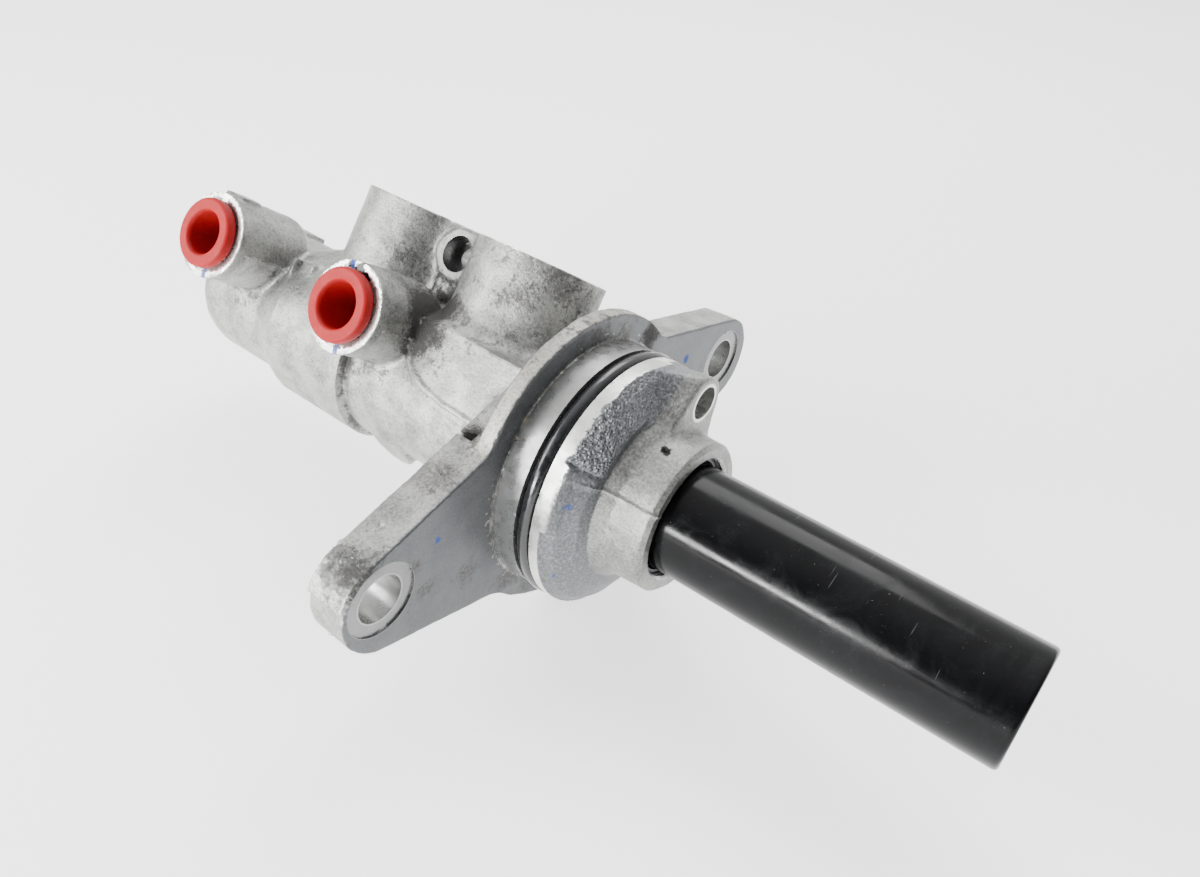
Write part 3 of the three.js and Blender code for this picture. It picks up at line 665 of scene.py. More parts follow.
def drill(thing, holes, radius):
    """Cuts round holes, each from one point to another, in millimetres."""
    for start, end in holes:
        start, end = Vector(start), Vector(end)
        work = bmesh.new()
        way = (end - start).to_track_quat("Z", "Y").to_matrix().to_4x4()
        place = Matrix.Translation((start + end) / 2 * MM) @ way
        bmesh.ops.create_cone(work, cap_ends=True, segments=24, radius1=radius * MM, radius2=radius * MM,
                              depth=(end - start).length * MM, matrix=place)
        tool_mesh = bpy.data.meshes.new("tool")
        work.to_mesh(tool_mesh)
        work.free()
        tool = put("tool", tool_mesh)
        cut = thing.modifiers.new("cut", "BOOLEAN")
        cut.object = tool
        cut.operation = "DIFFERENCE"
        cut.solver = "EXACT"
        bake_modifiers(thing)
        bpy.data.objects.remove(tool)


def bake_modifiers(thing):
    """Applies a piece's modifiers to its mesh."""
    view = bpy.context.evaluated_depsgraph_get()
    mesh = bpy.data.meshes.new_from_object(thing.evaluated_get(view))
    thing.modifiers.clear()
    thing.data = mesh


def sweep(name, path, radius, sides=14):
    """A round wire along a path of points, its ends ground flat."""
    path = np.array(path, float)
    ahead = np.gradient(path, axis=0)
    ahead /= np.linalg.norm(ahead, axis=1, keepdims=True)
    outward = path * (0, 1, 1)
    outward /= np.linalg.norm(outward, axis=1, keepdims=True)
    aside = np.cross(ahead, outward)
    outward = np.cross(aside, ahead)
    turns = np.arange(sides) * 2 * math.pi / sides
    ring = outward[:, None] * np.cos(turns)[:, None] + aside[:, None] * np.sin(turns)[:, None]
    verts = (path[:, None] + ring * radius).reshape(-1, 3)
    # rolled, so that each face splits along the diagonal that suits a coil
    quads = np.roll(grid_quads(len(path), sides, closed=False), -1, axis=1)
    thing = mesh_object(name, verts, quads, 40)
    close_ends(thing)
    return thing


def close_ends(thing):
    """Caps a swept piece's two open ends."""
    work = bmesh.new()
    work.from_mesh(thing.data)
    bmesh.ops.holes_fill(work, edges=[e for e in work.edges if e.is_boundary], sides=0)
    bmesh.ops.recalc_face_normals(work, faces=work.faces)
    work.to_mesh(thing.data)
    work.free()


def coil(name, x0, x1, radius, wire, turns, dead=0.9):
    """A compression spring along the bore with its end coils closed and ground flat."""
    steps = int(turns * 40)
    x0, x1 = x0 + wire, x1 - wire
    pitch = (x1 - x0 - 2 * dead * 2 * wire) / (turns - 2 * dead)
    path = []
    for i in range(steps + 1):
        turn = turns * i / steps
        start, middle = min(turn, dead), min(max(turn - dead, 0), turns - 2 * dead)
        x = x0 + (start + max(turn - turns + dead, 0)) * 2 * wire + middle * pitch
        angle = 2 * math.pi * turn
        path.append((x, radius * math.cos(angle), radius * math.sin(angle)))
    return sweep(name, path, wire)


# ---------------- what the materials read from the casting

def mark(thing, name, values):
    """Stores one number for each point of a piece's mesh."""
    layer = thing.data.attributes.new(name, "FLOAT", "POINT")
    layer.data.foreach_set("value", np.asarray(values, np.float32))


def near_point(p, place, size):
    """One at a place, fading to nought at the edge of an ellipsoid."""
    return np.clip(1 - np.linalg.norm((p - np.float32(place)) / np.float32(size), axis=1), 0, 1)


DIRT_AND_SHADE = (
    # a place and a reach in the casting's frame, and how dark it makes the skin: soiling, and painted shade in
    # the ear's pocket
    ((-37.5, -12.0, 13.5), (10, 14, 12), 1.5),
    ((-43.0, -11.0, 22.0), (9, 7, 9), 0.4),
    ((-33.5, -14.0, 11.0), (9, 7, 9), 1.7),
    ((-30.5, -15.5, 6.5), (7, 5, 6), 1.2),
    ((-24.0, -15.5, 8.0), (9, 5, 7), 0.5),
    # painted shade in the small pocket on the near ear
    ((-7.0, -27.0, 0.0), (4, 4, 3), 1.0),
    ((-51.0, -11.0, 20.0), (9, 9, 8), 0.75),
    ((-12.5, -7.0, 27.5), (11, 14, 10), 0.95),
    ((-25.0, -12.0, 25.0), (12, 9, 9), 0.4),
    ((-18.0, -12.0, 20.0), (12, 9, 12), 0.45),
    ((-47.0, -15.0, 6.0), (3, 9, 14), 0.5),
    ((-68.0, -13.0, 6.0), (6, 8, 7), 0.35),
    ((-83.0, -18.0, -1.5), (12, 12, 4), 0.7),
    ((-42.9, -18.0, -1.5), (12, 12, 4), 0.7),
)
EAR_DIRT_AND_SHADE = (
    # the same in the part's frame
    ((-3.0, -52.0, 7.5), (9, 7, 7), 1.5),
    ((-2.0, -34.0, -8.5), (4, 6, 5), 0.55),
    ((-4.0, -33.0, 11.5), (5, 7, 4), 0.35),
    # painted shade in the same pocket
    ((-5.0, -21.0, 15.0), (6, 6, 4), 0.3),
    ((-1.0, 4.0, 28.0), (4, 18, 5), 0.6),
    ((0.0, 19.0, 19.0), (4, 6, 5), 1.6),
    ((-4.0, 28.0, 14.0), (5, 8, 6), 0.6),
    ((-4.0, 55.0, 5.0), (7, 7, 8), 0.4),
    ((-2.0, -20.0, -20.0), (3, 9, 8), 0.3),
)


HOLLOW_REACHES = (0.8, 2.0, 4.5)    # how far out to look for metal that crowds a point
EDGE_DEPTH = 0.7                    # how far in to look for the lack of it


def mark_casting(thing, p):
    """Works out, point by point, what is machined, hollow, worn, rough and dirty, and where shade is painted
    along the barrel's step.
    """
    c = to_casting(p)
    x, r = p[:, 0], np.hypot(p[:, 1], p[:, 2])
    rough = as_cast(p, c)
    face = (np.abs(x) < 0.3) & (r > SPIGOT_R + 0.3)
    mark(thing, "cut", np.clip(-rough, 0, 1) * ~face)
    mark(thing, "face", face)
    out = gradient(casting, p)
    hollow = np.zeros(len(p))
    for reach in HOLLOW_REACHES:
        hollow += np.clip((reach - evaluate(casting, p + out * reach)) / reach, 0, 1) / len(HOLLOW_REACHES)
    mark(thing, "hollow", hollow)
    mark(thing, "edge", np.clip(1 + evaluate(casting, p - out * EDGE_DEPTH) / EDGE_DEPTH, 0, 1))
    dirt_and_shade = sum(power * near_point(c, place, size) for place, size, power in DIRT_AND_SHADE)
    dirt_and_shade = dirt_and_shade + sum(power * near_point(p, place, size) for place, size, power in EAR_DIRT_AND_SHADE)
    on_barrel = np.hypot(c[:, 1], c[:, 2]) < BARREL_BULGE_R + 0.5
    # painted shade along the barrel's step, added to the soiling marks
    step = np.exp(-(((x - BARREL_STEP - 0.2) / 0.8) ** 2)) * on_barrel
    mark(thing, "dirt_and_shade", np.clip(dirt_and_shade + 0.85 * step, 0, 2))
    mark(thing, "coarse", rough_patch(p))
    mark(thing, "rim", (x < -0.3) & (x > -FLANGE_RIM - 1) & (r > FLANGE_R - 1.5) & (r < FLANGE_R + 1))


# ---------------- materials

class Shades:
    """A material's nodes, made and joined in short steps. Sizes are in millimetres of the object."""

    def __init__(self, name):
        self.material = bpy.data.materials.new(name)
        self.material.use_nodes = True
        self.tree = self.material.node_tree
        self.shader = self.tree.nodes["Principled BSDF"]
        self.place = self.vector("MULTIPLY", self.node("ShaderNodeTexCoord", output="Object"), (1 / MM,) * 3)

    def feed(self, socket, value):
        """Links a socket to another one, or sets it to a number, a vector or a colour."""
        if isinstance(value, bpy.types.NodeSocket):
            self.tree.links.new(value, socket)
        else:
            socket.default_value = (*value, 1) if socket.type == "RGBA" else value

    def node(self, kind, inputs=(), output=0, **settings):
        """One output of a new node, its inputs fed by name or by number."""
        made = self.tree.nodes.new(kind)
        for key, value in settings.items():
            setattr(made, key, value)
        for key, value in dict(inputs).items():
            self.feed(made.inputs[key], value)
        return made.outputs[output]

    def vector(self, operation, a, b=(0, 0, 0), output="Vector"):
        return self.node("ShaderNodeVectorMath", {0: a, 1: b}, output, operation=operation)

    def attribute(self, name):
        return self.node("ShaderNodeAttribute", output="Fac", attribute_name=name)

    def stretched(self, scale):
        return self.vector("MULTIPLY", self.place, scale)

    def noise(self, size, detail=3.0, rough=0.55, warp=0.0, place=None):
        inputs = {"Vector": place or self.place, "Scale": 1 / size}
        inputs.update({"Detail": detail, "Roughness": rough, "Distortion": warp})
        return self.node("ShaderNodeTexNoise", inputs, "Fac")

    def cells(self, size):
        return self.node("ShaderNodeTexVoronoi", {"Vector": self.place, "Scale": 1 / size}, "Distance")

    def math(self, operation, a, b):
        return self.node("ShaderNodeMath", {0: a, 1: b}, operation=operation)

    def times(self, a, b):
        return self.math("MULTIPLY", a, b)

    def plus(self, a, b):
        return self.math("ADD", a, b)

    def without(self, mask):
        return self.math("SUBTRACT", 1.0, mask)

    def any_of(self, masks):
        total = masks[0]
        for mask in masks[1:]:
            total = self.math("MAXIMUM", total, mask)
        return total

    def steps(self, value, low, high, to_low=0.0, to_high=1.0):
        """A smooth ramp from one number at low to another at high."""
        inputs = dict(enumerate((value, low, high, to_low, to_high)))
        return self.node("ShaderNodeMapRange", inputs, "Result", interpolation_type="SMOOTHSTEP")

    def mix(self, factor, a, b):
        return self.node("ShaderNodeMix", {"Factor": factor, 6: a, 7: b}, 2, data_type="RGBA")

    def blend(self, factor, a, b):
        return self.node("ShaderNodeMix", {"Factor": factor, 2: a, 3: b}, data_type="FLOAT")

    def paint(self, under, mask, cover, over):
        """A colour with another one over it, where the mask is."""
        return self.mix(self.times(mask, cover), under, over)

    def bump(self, height, depth, strength=1.0, under=None):
        """Bump with its depth in millimetres."""
        inputs = {"Height": height, "Distance": depth * MM, "Strength": strength}
        if under is not None:
            inputs["Normal"] = under
        return self.node("ShaderNodeBump", inputs, "Normal")

    def spot(self, place, radius, ragged=0.5, soft=0.25):
        """A ragged patch round a place."""
        away = self.vector("DISTANCE", self.place, place, "Value")
        shake = self.math("SUBTRACT", self.noise(radius * 0.9, 2), 0.5)
        away = self.plus(away, self.times(shake, ragged * radius * 2))
        return self.steps(away, radius * (1 - soft), radius * (1 + soft), 1.0, 0.0)

    def drum(self, foot, way, radius, length, hole=0.0):
        """Inside a round bar that runs from foot along way, and outside a hole along its middle."""
        reach = self.vector("SUBTRACT", self.place, foot)
        along = self.vector("DOT_PRODUCT", reach, way, "Value")
        out = self.vector("LENGTH", self.vector("CROSS_PRODUCT", reach, way), output="Value")
        inside = self.steps(out, radius - 0.05, radius + 0.05, 1.0, 0.0)
        inside = self.times(inside, self.steps(along, -0.05, 0.05))
        inside = self.times(inside, self.steps(along, length - 0.05, length + 0.05, 1.0, 0.0))
        if hole > 0:
            inside = self.times(inside, self.steps(out, hole - 0.05, hole + 0.05))
        return inside

    def set(self, color, rough, metal, normal, **fixed):
        """Feeds the shader, sets its other sockets by name and returns the material."""
        names = ("Base Color", "Roughness", "Metallic", "Normal")
        for socket, value in zip(names, (color, rough, metal, normal)):
            self.feed(self.shader.inputs[socket], value)
        for socket, value in fixed.items():
            self.shader.inputs[socket.replace("_", " ").title().replace("Ior", "IOR")].default_value = value
        return self.material


def from_casting(x, sideways, up):
    """A point or a direction in the casting's frame, in the part's frame."""
    return (x, sideways * TURN_COS + up * TURN_SIN, up * TURN_COS - sideways * TURN_SIN)


AXIS = (1, 0, 0)
CUT_FADE = (0.03, 0.12)             # millimetres that a tool took, from which the skin counts as cut
OUTLET_WAY, BOSS_WAY = from_casting(0, -1, 0), from_casting(0, 0, 1)


def bright_places(s):
    """The turned land, the outlet faces and the boss tops, fresh from the cutter."""
    start = (GROOVE["x1"] - 0.1, 0, 0)
    land = s.times(s.drum(start, AXIS, SPIGOT_R + 1, 5, 20), s.steps(s.attribute("cut"), *CUT_FADE))
    masks = [land, s.drum(start, AXIS, SPIGOT_R + 1, 2.0, 20)]
    for x in OUTLET_XS:
        masks.append(s.drum(from_casting(x, -OUTLET_FACE + 0.3, OUTLET_RISE), OUTLET_WAY, OUTLET_R + 0.05, 2))
    for boss in (FRONT_BOSS, REAR_BOSS):
        masks.append(s.drum(from_casting(boss["x"], 0, BOSS_TOP - 0.2), BOSS_WAY, boss["r"] + 3, 2))
    return s.any_of(masks)


def satin_places(s):
    """The spigot, the spot faces and the bores."""
    masks = [
        s.drum((-96, 0, 0), AXIS, 13.7, 96 + NOSE_END - 0.15),
        s.drum((0.2, 0, 0), AXIS, SPIGOT_R + 0.3, GROOVE["x1"], 20),
        s.drum((LUG["floor"] - 1, LUG["y"], LUG["z"]), AXIS, LUG["hole"] + 0.25, 12),
        s.drum(from_casting(WEB_HOLE["x"], 12, WEB_HOLE["up"]), OUTLET_WAY, WEB_HOLE["bore"] + 0.1, 24),
        s.drum(from_casting(WEB_HOLE["x"], -1, WEB_HOLE["up"]), OUTLET_WAY, WEB_HOLE["mouth"] + 0.1, 11),
    ]
    for x in OUTLET_XS:
        masks.append(s.drum(from_casting(x, -6, OUTLET_RISE), OUTLET_WAY, OUTLET_BORE_R + 0.1, 24))
    for boss in (FRONT_BOSS, REAR_BOSS):
        masks.append(s.drum(from_casting(boss["x"], 0, 4), BOSS_WAY, boss["bore"] + 0.1, 30))
    for y in (-STUD_Y, STUD_Y):
        masks.append(s.drum((-0.55, y, 0), AXIS, SEAT_R + 0.1, 2))
        masks.append(s.drum((-EAR_THICK - 1, y, 0), AXIS, STUD_R + 0.1, 12))
    return s.any_of(masks)


STAINS = (
    ((0, -30.1, -7.4), 2.0), ((0, -20.3, -16.7), 2.6), ((0, -39.8, -4.4), 1.5), ((0, -14.0, -22.0), 2.0),
    ((0, 10.4, 23.4), 2.2), ((0, 2.7, 25.9), 1.8), ((0, -41.5, 2.0), 1.2), ((-4, -32.0, 13.5), 2.6),
)
SOOT = (
    # lumps of dried dirt on the rear outlet's face, a chip in the neck's skin and one at the flange
    ((-45.1, -13.6, 28.3), 0.8),
    ((-42.9, -13.6, 28.3), 1.1),
    ((-40.7, -14.1, 27.5), 0.8),
    ((-42.1, -13.8, 27.9), 0.9),
    ((19.6, -3.0, 14.5), 0.9), ((0, 18.6, 18.9), 1.7),
)


def paint_marks(s):
    """Spots of blue paint and the short blue strokes across the outlet faces."""
    masks = [s.spot(place, radius, 0.9) for place, radius in (
        ((13.4, -20.2, 8.6), 0.95), ((0, 33.6, 7.0), 0.9), ((0, -36.6, 4.5), 0.6), ((12.2, -21.5, -6.5), 0.35))]
    for x, turn in ((OUTLET_XS[0], 284), (OUTLET_XS[1], 284), (OUTLET_XS[1], 104)):
        angle = math.radians(turn)
        foot = from_casting(x, -OUTLET_FACE + 0.05, OUTLET_RISE)
        way = from_casting(math.cos(angle), 0, math.sin(angle))
        stroke = s.drum(foot, way, 0.55, OUTLET_R + 0.5)
        masks.append(s.times(stroke, s.steps(s.noise(0.8, 3), 0.28, 0.45)))
    return s.any_of(masks)


def cast_aluminium():
    """Grey cast skin with dirty hollows, darker milled faces and bright turned ones, and shade painted
    into the recesses and onto the side towards the push rod.
    """
    s = Shades("cast_aluminium_skin")
    hollow, edge, dirt_and_shade = s.attribute("hollow"), s.attribute("edge"), s.attribute("dirt_and_shade")
    coarse, rim, face = s.attribute("coarse"), s.attribute("rim"), s.attribute("face")
    bright, satin = bright_places(s), satin_places(s)
    cut = s.any_of([s.steps(s.attribute("cut"), *CUT_FADE), bright, satin])
    skin = s.without(cut)
    cloud, grain, fine = s.noise(6, 5, 0.65), s.noise(0.5, 4, 0.7), s.noise(0.17, 2, 0.5)
    rougher = s.steps(face, 0.0, 1.0, 1.0, 0.25)
    base = s.mix(s.steps(cloud, 0.35, 0.65), (0.215, 0.215, 0.210), (0.385, 0.385, 0.365))
    # painted shade on the side towards the push rod: the nose, its disc and the flange's rear face
    nose = s.drum((GROOVE["x1"], 0, 0), AXIS, SPIGOT_R + 3, 20)
    base = s.paint(base, nose, 0.45, (0.150, 0.152, 0.150))
    disc_shade = s.drum((LAND_END - 3, 0, 0), AXIS, SPIGOT_R + 3, 6.5, NECK_R + 1.8)
    base = s.paint(base, disc_shade, 0.85, (0.135, 0.140, 0.155))
    base = s.paint(base, face, 0.88, (0.085, 0.090, 0.099))
    base = s.paint(base, rim, 0.6, (0.35, 0.33, 0.28))
    light = s.times(s.steps(grain, 0.46, 0.72), rougher)
    base = s.mix(light, base, s.mix(0.4, base, (0.62, 0.62, 0.60)))
    dimples = s.times(s.steps(grain, 0.30, 0.50, 0.55, 0.0), rougher)
    base = s.mix(dimples, base, (0.08, 0.08, 0.08))
    steel = s.mix(s.steps(s.noise(5, 3), 0.3, 0.7), (0.60, 0.60, 0.58), (0.74, 0.74, 0.72))
    milled = s.mix(s.noise(2.5, 4, 0.6), (0.27, 0.275, 0.275), (0.41, 0.41, 0.40))
    color = s.mix(cut, base, s.mix(bright, milled, steel))
    # painted shade deep in the cut bores and holes, except the lug's hole, and in the web hole's mouth
    lug_hole = s.drum((LUG["floor"] - 1, LUG["y"], LUG["z"]), AXIS, LUG["hole"] + 0.6, 12)
    shade = s.times(s.times(s.steps(hollow, 0.5, 0.8), cut), s.without(lug_hole))
    color = s.paint(color, shade, 0.6, (0.06, 0.06, 0.06))
    color = s.paint(color, lug_hole, 0.8, (0.80, 0.80, 0.78))
    mouth = s.drum(from_casting(WEB_HOLE["x"], -1, WEB_HOLE["up"]), OUTLET_WAY, WEB_HOLE["mouth"] + 0.2, 11)
    color = s.paint(color, mouth, 0.6, (0.13, 0.13, 0.13))
    # painted shade on the stud seats in the rear face
    seat_shade = [s.drum((-0.55, y, 0), AXIS, SEAT_R + 0.1, 2, STUD_R + 0.3) for y in (-STUD_Y, STUD_Y)]
    color = s.paint(color, s.any_of(seat_shade), 0.6, (0.15, 0.15, 0.155))
    # painted shade filling the O-ring's groove
    width = GROOVE["x1"] - GROOVE["x0"]
    groove = s.drum((GROOVE["x0"], 0, 0), AXIS, SPIGOT_R - 0.1, width, GROOVE["r"] - 0.6)
    color = s.paint(color, groove, 0.85, (0.02, 0.02, 0.022))
    clean = s.steps(nose, 0.0, 1.0, 1.0, 0.3)
    bits = s.drum((-0.6, 0, 0), AXIS, SPIGOT_R + 1.7, 1.9, SPIGOT_R - 0.3)
    bits = s.times(bits, s.steps(s.noise(1.3, 3, 0.6), 0.60, 0.66))
    color = s.paint(color, bits, 0.8, (0.46, 0.43, 0.34))
    # dark pits and specks of soot, thick where the casting is dirty; these also paint the shade along the
    # barrel's step and in the ear's pocket
    speck = s.times(s.noise(0.8, 5, 0.75), s.noise(4.1, 3, 0.6))
    soiled_and_shaded = s.plus(s.times(dirt_and_shade, 0.5), s.times(hollow, 0.34))
    soiled_and_shaded = s.plus(soiled_and_shaded, s.times(rim, 0.10))
    soiled_and_shaded = s.times(soiled_and_shaded, s.steps(s.noise(4.5, 4, 0.65), 0.3, 0.6, 0.45, 1.0))
    specks = s.steps(s.plus(speck, s.times(soiled_and_shaded, 0.42)), 0.345, 0.42)
    specks = s.times(specks, s.times(clean, s.steps(cut, 0.0, 1.0, 0.85, 0.12)))
    crumb = s.plus(s.noise(0.55, 5, 0.8), s.times(s.noise(2.0, 4, 0.7), 0.6))
    grime_and_shade = s.plus(soiled_and_shaded, s.times(s.math("SUBTRACT", crumb, 0.8), 1.5))
    grime_and_shade = s.times(s.steps(grime_and_shade, 0.28, 0.66), s.times(clean, s.steps(cut, 0.0, 1.0, 1.0, 0.3)))
    dark = s.mix(s.noise(2.2, 3), (0.009, 0.009, 0.009), (0.036, 0.034, 0.030))
    color = s.paint(color, specks, 0.8, dark)
    color = s.paint(color, grime_and_shade, 0.9, dark)
    worn = s.times(s.steps(edge, 0.5, 0.9), s.steps(s.noise(1.1, 3), 0.4, 0.62))
    worn = s.times(worn, s.times(skin, 0.5))
    color = s.mix(worn, color, (0.72, 0.72, 0.70))
    stains = s.any_of([s.spot(place, radius, 1.5, 0.8) for place, radius in STAINS])
    stains = s.times(stains, s.steps(s.noise(0.8, 4, 0.7), 0.36, 0.62))
    color = s.paint(color, stains, 0.75, (0.045, 0.038, 0.028))
    soot = s.any_of([s.spot(place, radius, 1.0, 0.2) for place, radius in SOOT])
    color = s.paint(color, soot, 0.95, (0.012, 0.012, 0.012))
    blue = paint_marks(s)
    color = s.paint(color, blue, 0.85, (0.012, 0.06, 0.32))
    cast_rough, cut_rough = s.steps(grain, 0.2, 0.8, 0.32, 0.54), s.steps(s.noise(2.0, 3), 0.3, 0.7, 0.24, 0.38)
    rough = s.blend(cut, cast_rough, cut_rough)
    rough = s.blend(s.math("MAXIMUM", grime_and_shade, blue), rough, 0.75)
    # no metal where soiling or blue paint covers the skin, nor in the groove's painted shade
    coated_and_shaded = s.any_of([grime_and_shade, s.times(specks, 0.8), s.times(groove, 0.7), blue])
    metal = s.blend(coated_and_shaded, 0.85, 0.0)
    pebble = s.steps(s.cells(0.62), 0.05, 0.7, 1.0, 0.0)
    height = s.plus(grain, s.times(fine, 0.4))
    height = s.plus(height, s.times(s.times(pebble, coarse), 3.0))
    normal = s.bump(height, 0.11, s.times(skin, rougher))
    lines = s.noise(0.5, 2, 0.5, 0.0, s.stretched((6.0, 0.25, 0.25)))
    normal = s.bump(lines, 0.004, s.times(cut, 0.7), normal)
    crust = s.bump(s.times(s.noise(0.5, 3), grime_and_shade), 0.12, 0.6, normal)
    return s.set(color, rough, metal, crust)


def hard_anodised():
    """Glossy black, with smears of grease, a few scratches along it and dust."""
    s = Shades("black_anodised_skin")
    streak = s.noise(2.2, 3, 0.6, 0.0, s.stretched((0.12, 1.0, 1.0)))
    smear = s.steps(s.noise(7, 4, 0.6, 1.2), 0.42, 0.72)
    scratch = s.steps(s.noise(0.5, 2, 0.5, 0.0, s.stretched((1.0, 0.05, 0.05))), 0.72, 0.76)
    color = s.mix(s.times(smear, 0.5), (0.0025, 0.0026, 0.003), (0.007, 0.0075, 0.0085))
    color = s.paint(color, scratch, 0.35, (0.09, 0.09, 0.095))
    rough = s.steps(streak, 0.3, 0.8, 0.13, 0.24)
    rough = s.plus(rough, s.times(smear, 0.10))
    normal = s.bump(s.noise(0.6, 3, 0.5, 0.0, s.stretched((4.0, 0.3, 0.3))), 0.003, 0.5)
    dust = s.steps(s.noise(0.35, 3, 0.6), 0.71, 0.76)
    color = s.paint(color, dust, 0.5, (0.28, 0.28, 0.27))
    normal = s.bump(dust, 0.02, 0.3, normal)
    return s.set(color, rough, 0.0, normal, specular_ior_level=0.15)


def black_rubber():
    """Black rubber, wet in patches."""
    s = Shades("black_rubber_skin")
    wet = s.noise(2.5, 4, 0.6)
    color = s.mix(wet, (0.004, 0.004, 0.005), (0.013, 0.014, 0.016))
    rough = s.steps(wet, 0.35, 0.7, 0.16, 0.42)
    normal = s.bump(s.noise(0.7, 4, 0.6), 0.03, 0.6)
    return s.set(color, rough, 0.0, normal, coat_weight=0.3, coat_roughness=0.15)


def red_plastic():
    """Soft red plastic, lightly scuffed."""
    s = Shades("red_plug_skin")
    cloud = s.noise(3.5, 3)
    color = s.mix(cloud, (0.28, 0.007, 0.008), (0.34, 0.010, 0.011))
    scuff = s.steps(s.noise(0.9, 4, 0.7), 0.62, 0.74)
    color = s.paint(color, scuff, 0.25, (0.62, 0.10, 0.09))
    rough = s.steps(s.noise(1.2, 3), 0.3, 0.7, 0.40, 0.52)
    normal = s.bump(s.noise(0.5, 3), 0.012, 0.5)
    return s.set(color, rough, 0.0, normal, subsurface_weight=0.08, subsurface_scale=0.0012,
                 specular_ior_level=0.18)


def plain_metal(name, dark, light, low, high):
    """A metal between two colours, its roughness between low and high."""
    s = Shades(name)
    cloud = s.noise(2.4, 4, 0.6)
    color = s.mix(cloud, dark, light)
    specks = s.steps(s.noise(0.5, 3, 0.6), 0.66, 0.74)
    color = s.paint(color, specks, 0.4, tuple(v * 0.4 for v in dark))
    rough = s.steps(s.noise(0.9, 3), 0.3, 0.7, low, high)
    normal = s.bump(s.noise(0.5, 3, 0.5), 0.01, 0.6)
    return s.set(color, rough, 0.95, normal)


def plain_plastic(name, dark, light, low, high):
    """A plastic between two colours, its roughness between low and high."""
    s = Shades(name)
    color = s.mix(s.noise(3.0, 3), dark, light)
    rough = s.steps(s.noise(0.8, 3), 0.3, 0.7, low, high)
    normal = s.bump(s.noise(0.4, 3), 0.012, 0.6)
    return s.set(color, rough, 0.0, normal)


SKINS = {
    "cast_aluminium": cast_aluminium(),
    "black_anodised_aluminium": hard_anodised(),
    "black_rubber": black_rubber(),
    "red_plug_plastic": red_plastic(),
    "spring_steel": plain_metal("spring_steel_skin", (0.25, 0.25, 0.26), (0.40, 0.40, 0.41), 0.22, 0.36),
    "zinc_plated_steel": plain_metal("zinc_steel_skin", (0.52, 0.50, 0.42), (0.66, 0.64, 0.56), 0.26, 0.4),
    "black_spring_steel": plain_metal("black_steel_skin", (0.03, 0.03, 0.033), (0.07, 0.07, 0.075), 0.3, 0.5),
    "black_guide_plastic": plain_plastic("guide_plastic_skin", (0.02, 0.02, 0.022), (0.035, 0.035, 0.038),
                                         0.35, 0.5),
    "white_plastic": plain_plastic("white_plastic_skin", (0.70, 0.66, 0.57), (0.80, 0.77, 0.69), 0.32, 0.45),
}


def dress(thing, node, body, slot):
    """Stands a piece in for a CAD node, riding with its body, with the material that slot names."""
    thing.data.materials.clear()
    thing.data.materials.append(SKINS[slot])
    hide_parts(node)
    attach(thing, body)
    return thing


# ---------------- the pieces

casting_verts, casting_quads = contour(casting, BODY_LOW - 1.2, BODY_HIGH + 1.2, CELL)
skin = mesh_object("casting_skin", casting_verts, casting_quads, 38.0)
mark_casting(skin, casting_verts)
dress(skin, "body_casting", "casting", "cast_aluminium")

FIT = 0.12                          # clearance of the seals and rings on the pistons
SPRING_R, SPRING_TRAVEL = 6.3, 14.0
PISTON_R, ROD_R = 10.6, 10.32
ROD_END = PISTON_HIGH[0]
ROD_START = PISTON_LOW[0]
SHOULDER = 14.7
POCKET = {"r": 8.0, "floor": 13.0}
SOCKET = {"r": 6.6, "floor": 27.0}
SCREW = {"head": 2.9, "x0": -27.1, "x1": 20.0, "shank": 1.5}


def relief_holes(thing, x):
    """Four small cross holes that open the chamber to its reservoir at rest."""
    for i in range(4):
        angle = (i + 0.5) * math.pi / 2
        way = Vector((0, math.cos(angle), math.sin(angle)))
        drill(thing, [(Vector((x, 0, 0)) + way * 6, Vector((x, 0, 0)) + way * 14)], 0.8)


def primary_piston():
    """The push piston, hollow at both ends round a web that the screw is fixed in."""
    hole = SCREW["shank"] + FIT
    outline = [
        (POCKET["floor"], hole), (POCKET["floor"], POCKET["r"]), (ROD_START, POCKET["r"]),
        (ROD_START, PISTON_R), (SHOULDER, PISTON_R), (SHOULDER, ROD_R), (ROD_END, ROD_R),
        (ROD_END, SOCKET["r"]), (SOCKET["floor"] + 5, SOCKET["r"]),
        (SOCKET["floor"] + 2, SOCKET["r"] - 1.6), (SOCKET["floor"], 2.0), (SOCKET["floor"], 0),
        (SCREW["x1"] + 0.5, 0), (SCREW["x1"] + 0.5, hole),
    ]
    radii = [0.1, 0.8, 0.4, 0.5, 0.3, 0.2, 0.9, 0.9, 0.8, 0.8, 0.4, 0, 0, 0.2]
    thing = lathe("push_piston", rounded(outline, radii), 160)
    relief_holes(thing, -20.7)
    return thing


def secondary_piston():
    """The floating piston, hollow towards its spring."""
    low, high = box_mm("secondary_piston")
    outline = [(low[0], 7.8), (low[0], PISTON_R), (high[0], PISTON_R), (high[0], 0), (-52, 0), (-52, 7.8)]
    thing = lathe("floating_piston", rounded(outline, [0.4, 0.6, 0.6, 0, 0, 0.8]), 128)
    relief_holes(thing, -65.7)
    return thing


